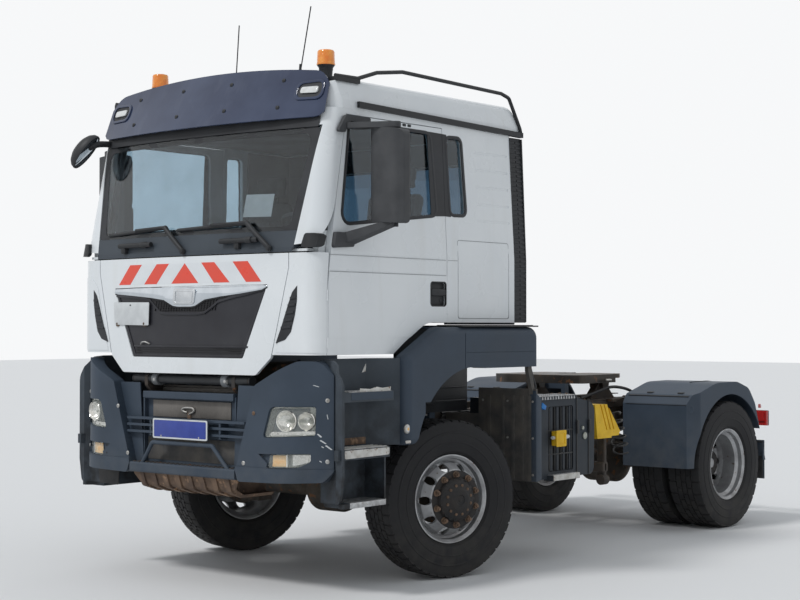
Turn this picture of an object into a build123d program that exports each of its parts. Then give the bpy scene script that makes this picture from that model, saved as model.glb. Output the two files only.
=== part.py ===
from build123d import *
import math
import os

# Millimetres. x runs to the vehicle's left, y rearward from the front axle, z up from the road.
# Every part is moved at the end, so that the origin is the middle of the overall length.
wheelbase = 3600
front_overhang = 1500
rear_overhang = 800
body_half = 1250
bumper_half = 1160
mirror_half = 1450
overall_height = 3765
nose = -front_overhang
tail = wheelbase + rear_overhang
axle_shift = -(nose + tail) / 2

# Wheels: 315/80 R22.5 tyres on 9.00 x 22.5 discs.
tyre_radius = 532
tyre_width = 312
rim_radius = 298.5
rim_half = 127
bead_radius = 286
disc_offset = 175
disc_thickness = 12
hub_radius = 112
spindle_radius = 60
bearing_gap = 0.3
bolt_circle = 167.5
nut_count = 10
hand_hole_radius = 29
hand_hole_circle = 222
front_wheel_x = 1010
kingpin_x = 860
steer_rest = -15.5
rear_mount_x = 922
axle_z = tyre_radius

# Front wheel opening.
arch_y = 30
arch_z = 795
arch_radius = 625
arch_top = 1690

# Frame.
rail_outer = 400
rail_flange = 80
rail_gauge = 8
rail_bottom = 800
rail_top = 1070
rail_front = nose + 350
rail_rear = tail - 60

# Cab.
cab_half = 1120
cab_half_roof = 1072
cab_bottom = 1515
cab_front = nose + 40
front_sag = 50
corner_x = 1000
corner_end = cab_front + 170
belt_z = 2160
swage_low = 1622
swage_high = 2032
swage_depth = 3
screen_base_z = 2290
screen_top_z = 2950
screen_top_front = cab_front + 125
rail_line_z = 3080
side_rear = 665
flap_rear = 812
skin = 40
door_front = cab_front + 154
door_rear = -112
door_gap = 5
knuckle_radius = 6.5
pin_radius = 3
cab_pivot_y = nose + 110
cab_pivot_z = 1345
hinge_tube_radius = 30
cab_clear_radius = 138
flap_axis_y = cab_front + 30
flap_axis_z = 2136
flap_top = 2150
shut_gap = 6

# Fifth wheel.
coupling_y = wheelbase - 600
coupling_top = 1290
coupling_pivot_z = 1200
kingpin_bore = 25.5
throat_half = 31

# Steering wheel.
wheel_x = 620
wheel_y = nose + 620
wheel_z = 2330
wheel_lean = -25


def block(x0, x1, y0, y1, z0, z1):
    return Pos((x0 + x1) / 2, (y0 + y1) / 2, (z0 + z1) / 2) * Box(x1 - x0, y1 - y0, z1 - z0)


def outline(corners):
    # A flat face from corners (u, v) or (u, v, radius), joined by lines and exact arcs.
    cuts = []
    for i, corner in enumerate(corners):
        here = Vector(corner[0], corner[1])
        before = Vector(*corners[i - 1][:2]) - here
        after = Vector(*corners[(i + 1) % len(corners)][:2]) - here
        radius = corner[2] if len(corner) > 2 else 0
        if radius == 0:
            cuts.append((here, None, here))
            continue
        before = before.normalized()
        after = after.normalized()
        half = math.acos(max(-1, min(1, before.dot(after)))) / 2
        reach = radius / math.tan(half)
        middle = here + (before + after).normalized() * (radius / math.sin(half) - radius)
        cuts.append((here + before * reach, middle, here + after * reach))
    edges = []
    for i, (start, middle, end) in enumerate(cuts):
        if middle is not None:
            edges.append(ThreePointArc(start, middle, end))
        following = cuts[(i + 1) % len(cuts)][0]
        if (following - end).length > 0.01:
            edges.append(Line(end, following))
    return make_face(edges)


def moved(corners, du, dv):
    # The same corners shifted, with their radii kept.
    return [(corner[0] + du, corner[1] + dv) + tuple(corner[2:]) for corner in corners]


def largest(shape):
    # The main solid that a cut leaves, without its off-cuts.
    return max(shape.solids(), key=lambda solid: solid.volume)


def slab_x(corners, x0, x1):
    return Pos(x0, 0, 0) * extrude(Plane.YZ * outline(corners), amount=x1 - x0)


def slab_y(corners, y0, y1):
    return Pos(0, y1, 0) * extrude(Plane.XZ * outline(corners), amount=y1 - y0)


def slab_z(corners, z0, z1):
    return Pos(0, 0, z0) * extrude(outline(corners), amount=z1 - z0)


def bar_x(x0, x1, y, z, radius):
    return Pos((x0 + x1) / 2, y, z) * Rot(0, 90, 0) * Cylinder(radius, x1 - x0)


def bar_y(y0, y1, x, z, radius):
    return Pos(x, (y0 + y1) / 2, z) * Rot(90, 0, 0) * Cylinder(radius, y1 - y0)


def bar_z(z0, z1, x, y, radius):
    return Pos(x, y, (z0 + z1) / 2) * Cylinder(radius, z1 - z0)


def turned_x(profile, y, z):
    # A ring turned about the x direction from (x, radius) corners.
    return Pos(0, y, z) * revolve(outline(profile), Axis.X)


def pipe(points, radius, bend):
    path = FilletPolyline(*points, radius=bend)
    return sweep(Plane(origin=path @ 0, z_dir=path % 0) * Circle(radius), path=path)


def mirrored(shape):
    return mirror(shape, about=Plane.YZ)


def both(shape):
    return shape + mirrored(shape)


def steered(shape):
    return Pos(kingpin_x, 0, 0) * Rot(0, 0, steer_rest) * Pos(-kingpin_x, 0, 0) * shape


def right_steered(shape):
    # The right wheel turns the same way, about its own kingpin.
    return Pos(-kingpin_x, 0, 0) * Rot(0, 0, steer_rest) * Pos(kingpin_x, 0, 0) * mirrored(shape)


def cab_section(z, half, front, sag, edge, side_start, rear):
    # One level of the cab: bowed front, round corners, straight sides.
    corner_y = front + sag
    middle = (edge + (half - edge) * 0.72, corner_y + (side_start - corner_y) * 0.3)
    return Pos(0, 0, z) * make_face([
        ThreePointArc((-edge, corner_y), (0, front), (edge, corner_y)),
        ThreePointArc((edge, corner_y), middle, (half, side_start)),
        Line((half, side_start), (half, rear)),
        Line((half, rear), (-half, rear)),
        Line((-half, rear), (-half, side_start)),
        ThreePointArc((-half, side_start), (-middle[0], middle[1]), (-edge, corner_y)),
    ])


def cab_body(inset):
    # The whole outer form of the cab, drawn in by inset on every side.
    levels = [
        (cab_bottom + inset, cab_half, cab_front),
        (belt_z, cab_half, cab_front),
        (screen_top_z, cab_half_roof + 6, screen_top_front),
        (rail_line_z, cab_half_roof, screen_top_front + 35),
    ]
    faces = []
    for z, half, front in levels:
        shift = front - cab_front
        faces.append(cab_section(z, half - inset, front + inset, front_sag + shift * 0.16,
                                 corner_x - shift * 0.25 - inset, corner_end + shift * 1.1 + inset,
                                 side_rear - inset))
    return loft(faces, ruled=True)


def side_half(z):
    # Half width of the cab's side at one height.
    return cab_half - (cab_half - cab_half_roof - 6) * max(0, z - belt_z) / (screen_top_z - belt_z)


def door_edge_y(z):
    # The straight upper part of the door's front edge, which leans back with the windscreen.
    return door_front + 44 + 184 * (z - 2240) / 790


def door_line(shift, low, high):
    # The door's front edge as corners from low to high.
    return [(door_front + shift, low), (door_front + shift, 1900, 500), (door_front + 44 + shift, 2240, 500),
            (door_edge_y(high) + shift, high)]


def arch_line(y0, high):
    # Lower edge of the cab over the front wheel, from the sill at y0 up to the flat part.
    return [(y0, cab_bottom), (arch_y - 702, cab_bottom), (arch_y - 586, 1592, 260), (arch_y - 360, high, 260)]


def tyre_profile(centre):
    half = tyre_width / 2
    flank = [(-rim_half + 14, bead_radius + 2), (-rim_half + 14, rim_radius), (-rim_half - 2, rim_radius + 8),
             (-half, 400, 60), (-half + 10, tyre_radius - 20, 14), (-half + 38, tyre_radius, 20)]
    other = [(-corner[0],) + corner[1:] for corner in reversed(flank)]
    return moved(flank + other, centre, 0)


def tyre(centre, y):
    return turned_x(tyre_profile(centre), y, axle_z)


def wheel_disc(centre, side, y):
    # A disc wheel; side is +1 where its dish bulges outboard, -1 where it is reversed.
    mount = disc_offset
    face = mount - disc_thickness
    corners = [(-rim_half, rim_radius), (-rim_half + 12, rim_radius), (-rim_half + 14, bead_radius),
               (-70, bead_radius - 3), (-52, 262), (48, 258), (62, bead_radius - 3),
               (rim_half - 14, bead_radius), (rim_half - 12, rim_radius), (rim_half, rim_radius),
               (rim_half, rim_radius - 8), (rim_half - 14, 274), (74, 270), (66, 250), (110, 243, 20),
               (mount, 196, 25), (mount, spindle_radius + 60), (face, spindle_radius + 60),
               (face, 188, 25), (96, 232, 20), (50, 244), (-60, 248), (-80, 272),
               (-rim_half + 14, 274), (-rim_half, rim_radius - 8)]
    ring = revolve(outline([(c[0] * side,) + tuple(c[1:]) for c in corners]), Axis.X)
    turn = 360 / nut_count
    holes = [Rot(i * turn + turn / 2, 0, 0) * Pos(side * 130, 0, hand_hole_circle) * Rot(0, 90, 0)
             * Cylinder(hand_hole_radius, 90) for i in range(nut_count)]
    return Pos(centre, y, axle_z) * (ring - holes)


def nuts(x, y, length):
    return [Pos(x + length / 2, y, axle_z) * Rot(i * 360 / nut_count, 0, 0) * Pos(0, 0, bolt_circle)
            * Rot(0, 90, 0) * Cylinder(15, length) for i in range(nut_count)]


def front_rim():
    flange = front_wheel_x + disc_offset
    hub = turned_x([(1080, spindle_radius + bearing_gap), (1080, hub_radius),
                    (flange - disc_thickness - 18, hub_radius), (flange - disc_thickness - 18, 190),
                    (flange - disc_thickness, 190), (flange - disc_thickness, 130),
                    (flange + 10, 130), (flange + 10, 118), (flange + 34, 104), (flange + 52, 70),
                    (flange + 52, 0), (flange + 2, 0), (flange + 2, spindle_radius + bearing_gap)], 0, axle_z)
    shape = wheel_disc(front_wheel_x, 1, 0) + hub
    for nut in nuts(flange - 2, 0, 30):
        shape += nut
    return shape


def rear_rims():
    inner = wheel_disc(rear_mount_x - disc_offset, 1, wheelbase)
    outer = wheel_disc(rear_mount_x + disc_offset, -1, wheelbase)
    hub = turned_x([(800, spindle_radius + bearing_gap), (800, hub_radius), (890, hub_radius), (890, 190),
                    (910, 190), (910, 130), (1010, 130), (1040, 118), (1072, 96), (1072, 0),
                    (1022, 0), (1022, spindle_radius + bearing_gap)], wheelbase, axle_z)
    shape = inner + outer + hub
    for nut in nuts(rear_mount_x + 10, wheelbase, 34):
        shape += nut
    return shape


def rear_tyres():
    return tyre(rear_mount_x - disc_offset, wheelbase) + tyre(rear_mount_x + disc_offset, wheelbase)


def knuckle():
    # Turns between the eyes of the axle and carries the spindle.
    body = bar_z(axle_z - 99.7, axle_z + 99.7, kingpin_x, 0, 70)
    spindle = bar_x(kingpin_x, front_wheel_x + disc_offset - 10, 0, axle_z, spindle_radius)
    plate = bar_x(950, 965, 0, axle_z, 180)
    arm = block(kingpin_x - 20, kingpin_x + 20, 60, 210, axle_z - 80, axle_z - 50)
    return body + spindle + plate + arm


def front_axle():
    shape = bar_x(-760, 760, 0, axle_z, 72)
    shape += turned_x([(-190, 0), (-190, 70), (-120, 170, 40), (120, 170, 40), (190, 70), (190, 0)], 0, axle_z)
    eye = block(700, 780, -70, 70, axle_z - 140, axle_z + 140)
    for z in (axle_z - 120, axle_z + 120):
        eye += bar_z(z - 20, z + 20, kingpin_x, 0, 78) + block(700, kingpin_x, -60, 60, z - 20, z + 20)
    pads = block(410, 500, -90, 90, axle_z + 40, 690)
    nose_piece = bar_y(60, 235, 130, 540, 62)
    return shape + both(eye + pads) + nose_piece


def rear_axle():
    tube = bar_x(-790, 790, wheelbase, axle_z, 78)
    spindles = bar_x(-1015, 1015, wheelbase, axle_z, spindle_radius)
    bowl = turned_x([(-230, 0), (-230, 90), (-150, 215, 50), (150, 215, 50), (230, 90), (230, 0)],
                    wheelbase, axle_z)
    pinion = bar_y(wheelbase - 300, wheelbase, 0, axle_z, 90)
    drums = both(bar_x(700, 790, wheelbase, axle_z, 190))
    pads = both(block(420, 520, wheelbase - 110, wheelbase + 110, axle_z + 40, 705))
    return tube + spindles + bowl + pinion + drums + pads


def leaf_spring(x, y, length, z, rise):
    half = length / 2
    low = [(-half, rise), (-half / 2, rise * 0.25, 900), (0, 0, 900), (half / 2, rise * 0.25, 900), (half, rise)]
    high = [(half, rise + 30), (half / 2, rise * 0.25 + 42, 900), (0, 46, 900),
            (-half / 2, rise * 0.25 + 42, 900), (-half, rise + 30)]
    return slab_x(moved(low + high, y, z), x - 45, x + 45)


def springs():
    front = leaf_spring(455, 0, 1500, 660, 90)
    rear = leaf_spring(470, wheelbase, 1400, 680, 80)
    hangers = Part()
    for y, x in ((-750, 455), (750, 455), (wheelbase - 700, 470), (wheelbase + 690, 470)):
        hangers += block(rail_outer, x + 50, y - 45, y + 45, 710, 960)
    return both(front + rear + hangers)


def frame_rails():
    web = rail_outer - rail_gauge
    inner = rail_outer - rail_flange
    section = [(rail_outer, rail_bottom), (rail_outer, rail_top), (inner, rail_top),
               (inner, rail_top - rail_gauge), (web, rail_top - rail_gauge),
               (web, rail_bottom + rail_gauge), (inner, rail_bottom + rail_gauge), (inner, rail_bottom)]
    return both(slab_y(section, rail_front, rail_rear))


def crossmembers():
    web = rail_outer - rail_gauge
    shape = Part()
    for y in (1480, wheelbase - 1250, wheelbase - 400, wheelbase + 550):
        tie = block(-web, web, y - 40, y + 40, 830, 1040)
        shape += tie - block(-web - 1, web + 1, y - 32, y + 41, 838, 1032)
    return shape


def front_bearers():
    # Plates ahead of the rails carry the tube that the cab tips on.
    plate = slab_x([(nose + 160, 770), (rail_front + 250, 770), (rail_front + 250, 1060),
                    (rail_front, 1100, 60), (nose + 170, 1376, 20), (nose + 76, 1376, 20),
                    (nose + 76, 1300, 20), (nose + 160, 1220, 40)], rail_outer, rail_outer + 30)
    return both(plate) + bar_x(-548, 548, cab_pivot_y, cab_pivot_z, hinge_tube_radius)


def radiator():
    return block(-rail_outer, rail_outer, nose + 220, nose + 320, 860, 1300)


def powertrain():
    engine = slab_x([(nose + 500, 790), (260, 790), (260, 1250, 40), (140, 1440, 60), (nose + 600, 1440, 60),
                     (nose + 500, 1300, 40)], -300, 300)
    gearbox = bar_y(250, 980, 0, 950, 190)
    case = slab_y([(-150, 600, 60), (230, 600, 60), (230, 1060, 60), (-150, 1060, 60)], 970, 1240)
    pinion_y = wheelbase - 300
    rear_shaft = pipe([(0, 1238, 740), (0, 1340, 740), (0, pinion_y - 120, axle_z), (0, pinion_y, axle_z)], 45, 120)
    front_shaft = pipe([(160, 972, 650), (160, 880, 650), (130, 330, 540), (130, 235, 540)], 36, 80)
    feet = both(block(290, rail_outer - rail_gauge, -520, -440, 830, 900))
    return engine + gearbox + case + rear_shaft + front_shaft + feet


def bumper_centre():
    step = slab_x([(nose + 4, 722, 14), (nose + 120, 722), (nose + 120, 790), (nose + 4, 790, 14)], -500, 500)
    back = block(-560, 560, nose + 108, nose + 120, 788, 1240)
    ledge = slab_x([(nose + 62, 1262, 6), (nose + 62, 1216, 6), (nose + 109, 1204), (nose + 109, 1262)], -430, 430)
    # Plates beside the opening run back from the corner mouldings.
    returns = both(slab_y([(430, 789), (520, 789), (680, 1318), (470, 1318)], nose + 70, nose + 78))
    webs = both(block(430, 442, nose + 77, nose + 109, 789, 1240))
    slats = Part()
    for z, depth in ((985, 26), (1030, 26), (1074, 46)):
        slats += block(-560, 560, nose + 34, nose + 34 + depth, z, z + 16)
    posts = Part()
    for x in (-330, 330):
        posts += block(x - 8, x + 8, nose + 40, nose + 110, 970, 1090)
    plate = block(-260, 260, nose, nose + 8, 958, 1088)
    holder = block(-60, 60, nose + 8, nose + 40, 980, 1070)
    stays = both(block(rail_outer, rail_outer + 30, nose + 120, nose + 160, 800, 1200))
    guard = pipe([(-400, nose + 30, 780), (-285, nose + 18, 928), (285, nose + 18, 928),
                  (420, nose + 30, 780)], 14, 30)
    return step + back + ledge + returns + webs + slats + posts + plate + holder + stays + guard


def bumper_plan(inset):
    # Plan of the corner moulding: flat front, large round corner, slanted end.
    front = nose + 10 + inset
    side = bumper_half - inset
    return slab_z([(380, front), (side - 246 + inset * 0.64, front, 300 - inset),
                   (side, front + 202 - inset * 0.53), (side, nose + 260), (380, nose + 260)], 690, 1600)


def headlamp_corners(grow):
    return [(744 - grow, 1001 - grow, 16), (1071 + grow, 1018 - grow, 14), (1076 + grow, 1198 + grow, 14),
            (808 - grow, 1196 + grow, 50)]


def foglamp_corners(grow):
    return [(776 - grow, 812 - grow, 10), (985, 820 - grow, 60), (1050 + grow, 858, 20),
            (1051 + grow, 908 + grow, 10), (796 - grow, 902 + grow, 10)]


def bumper_corners():
    front = slab_y([(503, 790), (530, 716, 30), (bumper_half - 50, 730, 40), (bumper_half + 6, 800, 50),
                    (bumper_half + 6, 1385, 60), (bumper_half - 75, 1478, 60), (bumper_half - 175, 1478, 70),
                    (672, 1325, 25)], nose - 20, nose + 218)
    pocket = bumper_plan(-20) - bumper_plan(75)
    lip = (bumper_plan(-6) - bumper_plan(95)) & block(400, 1300, nose, nose + 218, 690, 812)
    body = front & (bumper_plan(0) - bumper_plan(95) + lip)
    # The top edge is rounded about the cab's pivot, so that the cab clears it as it tips.
    high = block(500, 1300, nose - 100, cab_pivot_y, cab_pivot_z, 1600)
    body -= high - bar_x(400, 1400, cab_pivot_y, cab_pivot_z, cab_clear_radius)
    body -= slab_y(headlamp_corners(0), nose - 20, nose + 218) & pocket
    body -= slab_y(foglamp_corners(0), nose - 20, nose + 218) & pocket
    body -= slab_y([(706, 899), (800, 830), (830, 904)], nose - 20, nose + 30)
    return both(body)


def front_lamps():
    lens = bumper_plan(14) - bumper_plan(75)
    head = slab_y(headlamp_corners(-2), nose, nose + 218) & lens
    fog = slab_y(foglamp_corners(-2), nose, nose + 218) & lens
    return both(head + fog)


def skid_profile(drop):
    return [(nose + 34 - drop, 722), (nose + 64 - drop, 640 - drop, 40), (nose + 170, 600 - drop, 60),
            (nose + 450, 600 - drop), (nose + 450, 612), (nose + 170, 612), (nose + 72, 652, 30), (nose + 46, 722)]


def skid_plate():
    shape = slab_x(skid_profile(0), -490, 490)
    for i in range(8):
        x = -430 + i * 116
        shape += slab_x(skid_profile(10), x, x + 44)
    shape &= slab_y([(-560, 800), (-380, 560), (380, 560), (560, 800)], nose - 100, 0)
    return shape + both(block(rail_outer - 80, rail_outer - 50, nose + 180, nose + 440, 611, 800))


def wheel_arches():
    # The skirt has a rounded outer edge; the liner closes the wheel well towards the frame.
    front = arch_y - 720
    skirt = slab_x([(front, 930, 20), (arch_y - 530, 930), (arch_y - 530, 1200), (790, 1200),
                    (790, arch_top, 80), (arch_y - 360, arch_top, 220), (front, 1495, 60)], 1150, body_half)
    rim = [edge for edge in skirt.edges().filter_by_position(Axis.X, body_half - 1, body_half + 1)
           if edge.center().Z > 1250 or edge.center().Y < front + 5]
    skirt = fillet(rim, 55)
    well = bar_x(500, 1300, arch_y, arch_z, arch_radius) + block(500, 1300, arch_y, 900, 900, 1410)
    skirt -= well
    # Shallow grooves mark the joints of the moulding.
    skirt -= block(body_half - 3, body_half + 1, -78, -72, 1400, 1700)
    skirt -= block(body_half - 3, body_half + 1, -78, 800, 1516, 1520)
    ring = bar_x(640, 1150, arch_y, arch_z, arch_radius + 20) - bar_x(600, 1300, arch_y, arch_z, arch_radius)
    liner = ring & block(640, 1150, arch_y - 730, arch_y, 930, 1500)
    top = block(640, 1150, arch_y, 780, arch_z + arch_radius, arch_z + arch_radius + 20)
    cover = block(640, 1150, -330, 740, arch_top - 15, arch_top) + block(640, 660, -100, 740, 1430, arch_top - 10)
    stay = block(rail_outer, 640, 300, 360, 1000, 1060) + block(620, 640, 300, 360, 1000, 1440)
    return both(skirt + liner + top + cover + stay)


def entry_steps():
    # A recessed well with three treads between the bumper and the wheel opening.
    back = -860
    front = nose + 222
    skin_front = front + 22
    well = block(1040, 1060, skin_front, back, 590, 1490)
    blend = slab_z([(1040, back - 20), (1060, back - 20), (1190, arch_y - 720), (1160, arch_y - 720),
                    (1040, back + 20)], 935, 1490)
    cheek = slab_y([(1040, 600), (1225, 600, 30), (body_half, 760, 60), (body_half, 1340, 110),
                    (1150, 1480, 60), (1040, 1490)], front - 40, skin_front)
    cheek &= slab_z([(1040, front), (1166, front), (1200, front - 34), (body_half, front - 34),
                     (body_half, front - 12), (1206, front - 12), (1172, skin_front), (1040, skin_front)], 590, 1500)
    treads = Part()
    for lead, y1, low, high in ((12, back + 52, 1225, 1285), (58, back + 15, 870, 935), (12, back - 25, 572, 602)):
        treads += slab_z([(1050, skin_front), (1172, skin_front), (1206, front - lead), (1238, front - lead),
                          (1238, y1), (1050, y1)], low, high)
    hanger = block(1050, 1225, back - 26, back - 12, 575, 880)
    stay = block(rail_outer + 30, 1040, nose + 350, nose + 400, 850, 900)
    return both(well + blend + cheek + treads + hanger + stay)


def splash_panels():
    # Ribbed panels behind the front wheels, each with a flange and a strut to the arch.
    front = 740
    shape = block(745, 1256, front, front + 16, 590, 1250)
    shape += slab_x([(front, 1220), (front + 62, 1180), (front + 62, 600), (front, 590)], 1244, 1256)
    for x in (830, 950, 1040, 1120, 1190):
        shape += block(x, x + 26, front - 7, front + 1, 600, 1200)
    shape += block(rail_outer, 760, front + 6, front + 16, 975, 1060)
    shape += slab_x([(front - 60, 1410), (front - 20, 1410), (front + 20, 1240), (front + 14, 1200), (front, 1200),
                     (front - 60, 1380)], 1200, 1230)
    return both(shape)


def guard_side(inset):
    # Side view of the rear mudguard, from its front panel over the wheel to its rear edge.
    y = wheelbase
    return [(y - 640 + inset, 380), (y - 640 + inset, 1055 - inset * 0.6, 30), (y - 585 + inset, 1130 - inset, 60),
            (y - 240, 1222 - inset, 500), (y + 120, 1226 - inset, 300), (y + 330 - inset * 0.5, 1166 - inset, 150),
            (y + 445 - inset, 1030 - inset * 0.5, 150), (y + 690 - inset, 380)]


def guard_plan(inset):
    # Plan of the mudguard, with its outer front corner cut back.
    side = body_half - inset
    front = wheelbase - 640 + inset
    return slab_z([(560, front - 20), (side - 55, front - 20), (side - 55, front, 40), (side, front + 130, 60),
                   (side, tail), (560, tail)], 300, 1400)


def mudguards():
    # A thin shell over the twin tyres; its outer wall is cut open round the wheel.
    outer = slab_x(guard_side(0), 590, body_half) & guard_plan(0)
    inner = slab_x(guard_side(14), 560, body_half + 30) & guard_plan(14)
    opening = bar_x(body_half - 60, body_half + 30, wheelbase + 12, axle_z + 8, 582)
    opening += block(body_half - 60, body_half + 30, wheelbase - 570, wheelbase + 594, 300, axle_z + 8)
    shape = outer - inner - opening - block(500, 1300, 2000, tail, 300, 530)
    shape += block(620, 1240, wheelbase + 622, wheelbase + 636, 365, 700)
    front, rear = wheelbase - 40, wheelbase + 20
    shape += block(rail_outer, 800, front, rear, 1130, 1180) + block(600, 660, front, rear, 1180, 1216)
    return both(shape + block(rail_outer, 440, front, rear, 1000, 1180))


def tail_lamps():
    lamp = block(880, 1200, rail_rear + 15, tail, 820, 950)
    bracket = block(-1180, 1180, rail_rear, rail_rear + 15, 860, 940)
    return both(lamp) + bracket


def battery_box():
    case = slab_x([(830, 590, 20), (1600, 590, 60), (1612, 1120, 90), (1350, 1170), (830, 1170)], 600, 1180)
    case -= slab_x([(1000, 640, 20), (1322, 640, 20), (1322, 1112, 20), (1000, 1112, 20)], 1156, 1190)
    for y in (1050, 1130, 1210, 1290):
        case += block(1150, 1172, y - 14, y + 14, 644, 1108)
    arms = block(rail_outer, 600, 900, 980, 860, 1000) + block(rail_outer, 600, 1450, 1530, 860, 1000)
    tread = block(700, 1190, 820, 1350, 1166, 1186)
    low = block(1150, 1235, 984, 1320, 578, 616)
    return case + arms + tread + low


def fuel_tank():
    case = slab_y([(-1190, 560, 90), (-560, 560, 60), (-560, 1160, 60), (-1190, 1160, 90)], 900, wheelbase - 1300)
    for y in (1150, wheelbase - 1600):
        case += block(-560, -rail_outer, y - 40, y + 40, 840, 1040)
    return case


def fifth_wheel_mount():
    top = rail_top + 14
    shape = both(block(rail_outer - 90, rail_outer + 40, coupling_y - 550, coupling_y + 550, rail_top, top))
    tower = slab_x([(coupling_y - 190, top), (coupling_y + 190, top), (coupling_y + 70, coupling_pivot_z, 30),
                    (coupling_y + 40, coupling_pivot_z + 38, 30), (coupling_y - 40, coupling_pivot_z + 38, 30),
                    (coupling_y - 70, coupling_pivot_z, 30)], 300, 360)
    tower -= bar_x(200, 400, coupling_y, coupling_pivot_z, 25.3)
    tie = block(-rail_outer + 90, rail_outer - 90, coupling_y - 60, coupling_y + 60, rail_top, top)
    return shape + both(tower) + tie


def fifth_wheel():
    y = coupling_y
    rear = y + 400
    plan = [(-455, y - 440, 60), (-300, y - 500, 200), (300, y - 500, 200), (455, y - 440, 60), (455, y + 120, 80),
            (330, y + 330, 40), (230, rear, 20), (120, rear), (throat_half, y + 90), (throat_half, y),
            (-throat_half, y), (-throat_half, y + 90), (-120, rear), (-230, rear, 20), (-330, y + 330, 40),
            (-455, y + 120, 80)]
    low = coupling_top - 34
    top = slab_z(plan, low, coupling_top)
    top -= bar_z(coupling_top - 60, coupling_top + 10, 0, y, throat_half)
    top -= slab_x([(y + 240, coupling_top + 1), (rear + 10, coupling_top - 26), (rear + 10, coupling_top + 1)],
                  -460, 460)
    skirt = slab_z(plan, low - 36, low + 1)
    skirt -= slab_z([(-438, y - 425, 50), (-290, y - 484, 190), (290, y - 484, 190), (438, y - 425, 50),
                     (438, y + 200), (-438, y + 200)], low - 40, low + 2)
    skirt &= block(-500, 500, y - 520, y + 60, low - 60, low + 10)
    jaw = block(-150, 150, y - 120, y + 70, low - 40, low)
    jaw -= bar_z(low - 60, low + 20, 0, y, kingpin_bore)
    lugs = Part()
    for near, far in ((262, 299.7), (360.3, 396)):
        lugs += slab_x([(y - 60, low + 4), (y + 60, low + 4), (y + 40, coupling_pivot_z - 40, 30),
                        (y - 40, coupling_pivot_z - 40, 30)], near, far)
    lugs += bar_x(262, 396, y, coupling_pivot_z, 25)
    return top + skirt + jaw + both(lugs)


def wheel_chocks():
    chock = slab_x([(1723, 1100, 8), (1900, 1096, 30), (2085, 880, 10), (2060, 850, 10), (1759, 847, 8)], 960, 1110)
    for y in (1790, 1840, 1890):
        chock -= slab_x([(y, 1110), (y + 16, 1110), (y + 110, 900), (y + 94, 900)], 1100, 1120)
    holder = block(rail_outer, 960, 1790, 1820, 860, 900) + block(960, 1110, 1760, 1960, 836, 850)
    return chock + holder


def cab_floor():
    # Floor pan raised over the wheels, and the two ears that swing on the front tube.
    half = cab_half - skin
    front = cab_front + 210
    rear = side_rear - skin
    pan = slab_x([(front, 1565), (arch_y - 730, 1565), (arch_y - 590, 1640, 120), (arch_y - 390, 1735, 120),
                  (rear, 1735), (rear, 1765), (arch_y - 400, 1765, 120), (arch_y - 605, 1665, 120),
                  (arch_y - 738, 1595), (front, 1595)], -half, half)
    for x in (-330, 330):
        ear = bar_x(x - 25, x + 25, cab_pivot_y, cab_pivot_z, 44)
        ear += slab_x([(cab_pivot_y - 25, 1360), (cab_pivot_y + 34, 1310), (front + 100, 1480),
                       (front + 100, 1565), (front, 1565)], x - 25, x + 25)
        ear -= bar_x(x - 30, x + 30, cab_pivot_y, cab_pivot_z, hinge_tube_radius + bearing_gap)
        pan += ear
    return pan


def hinge_levels():
    return ((1556, 1626), (1850, 1920))


def hinge_posts():
    # Fixed knuckles and pins of the left door's two hinges.
    shape = Part()
    for low, high in hinge_levels():
        shape += bar_z(low, high, cab_half, door_front, pin_radius)
        for z0, z1 in ((low, low + 20), (high - 20, high)):
            shape += bar_z(z0, z1, cab_half, door_front, knuckle_radius)
            shape += block(cab_half - 22, cab_half, door_front - 18, door_front - 2, z0, z1)
    return shape


def hinge_leaves():
    # Middle knuckles that turn with the left door.
    shape = Part()
    for low, high in hinge_levels():
        leaf = bar_z(low + 21, high - 21, cab_half, door_front, knuckle_radius)
        leaf += block(cab_half - 22, cab_half, door_front + 2, door_front + 18, low + 21, high - 21)
        shape += leaf - bar_z(low, high, cab_half, door_front, pin_radius + bearing_gap)
    return shape


def hinge_room():
    shape = Part()
    for low, high in hinge_levels():
        shape += bar_z(low - 1, high + 1, cab_half, door_front, knuckle_radius + 1.5)
    return shape


def window_hole():
    return slab_x([(door_front + 141, 2335, 60), (-205, 2440, 50), (-240, 2985, 50), (door_front + 256, 2985, 50)],
                  cab_half - 300, cab_half + 100)


def quarter_hole():
    return slab_x([(-52, 2450, 40), (120, 2455, 40), (96, 2980, 40), (-70, 2975, 40)],
                  cab_half - 300, cab_half + 100)


def door_cut():
    return slab_x(arch_line(door_front, 1720)[1:] + [(door_rear, 1720), (door_rear, 3030)]
                  + door_line(0, cab_bottom, 3030)[::-1], cab_half - 300, cab_half + 100)


def door(shell, proud):
    side = shell & block(cab_half - 120, cab_half + 50, cab_front, 0, cab_bottom, 3030)
    skins = proud & block(cab_half - 5, cab_half + 50, door_front + 12, 0, swage_low, swage_high)
    panel = (side + skins) & door_cut()
    panel -= window_hole()
    panel -= slab_x([(-288, 1830, 20), (-122, 1830, 20), (-122, 1990, 20), (-288, 1990, 20)],
                    cab_half - 20, cab_half + 20)
    panel += slab_x([(-276, 1900, 12), (-134, 1900, 12), (-134, 1940, 12), (-276, 1940, 12)],
                    cab_half - 22, cab_half + 2)
    return panel - hinge_room() + hinge_leaves()


def pane(glass_layer, cut, rear):
    return glass_layer & cut & block(cab_half - 120, cab_half + 50, cab_front, rear, 2000, 3060)


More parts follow.
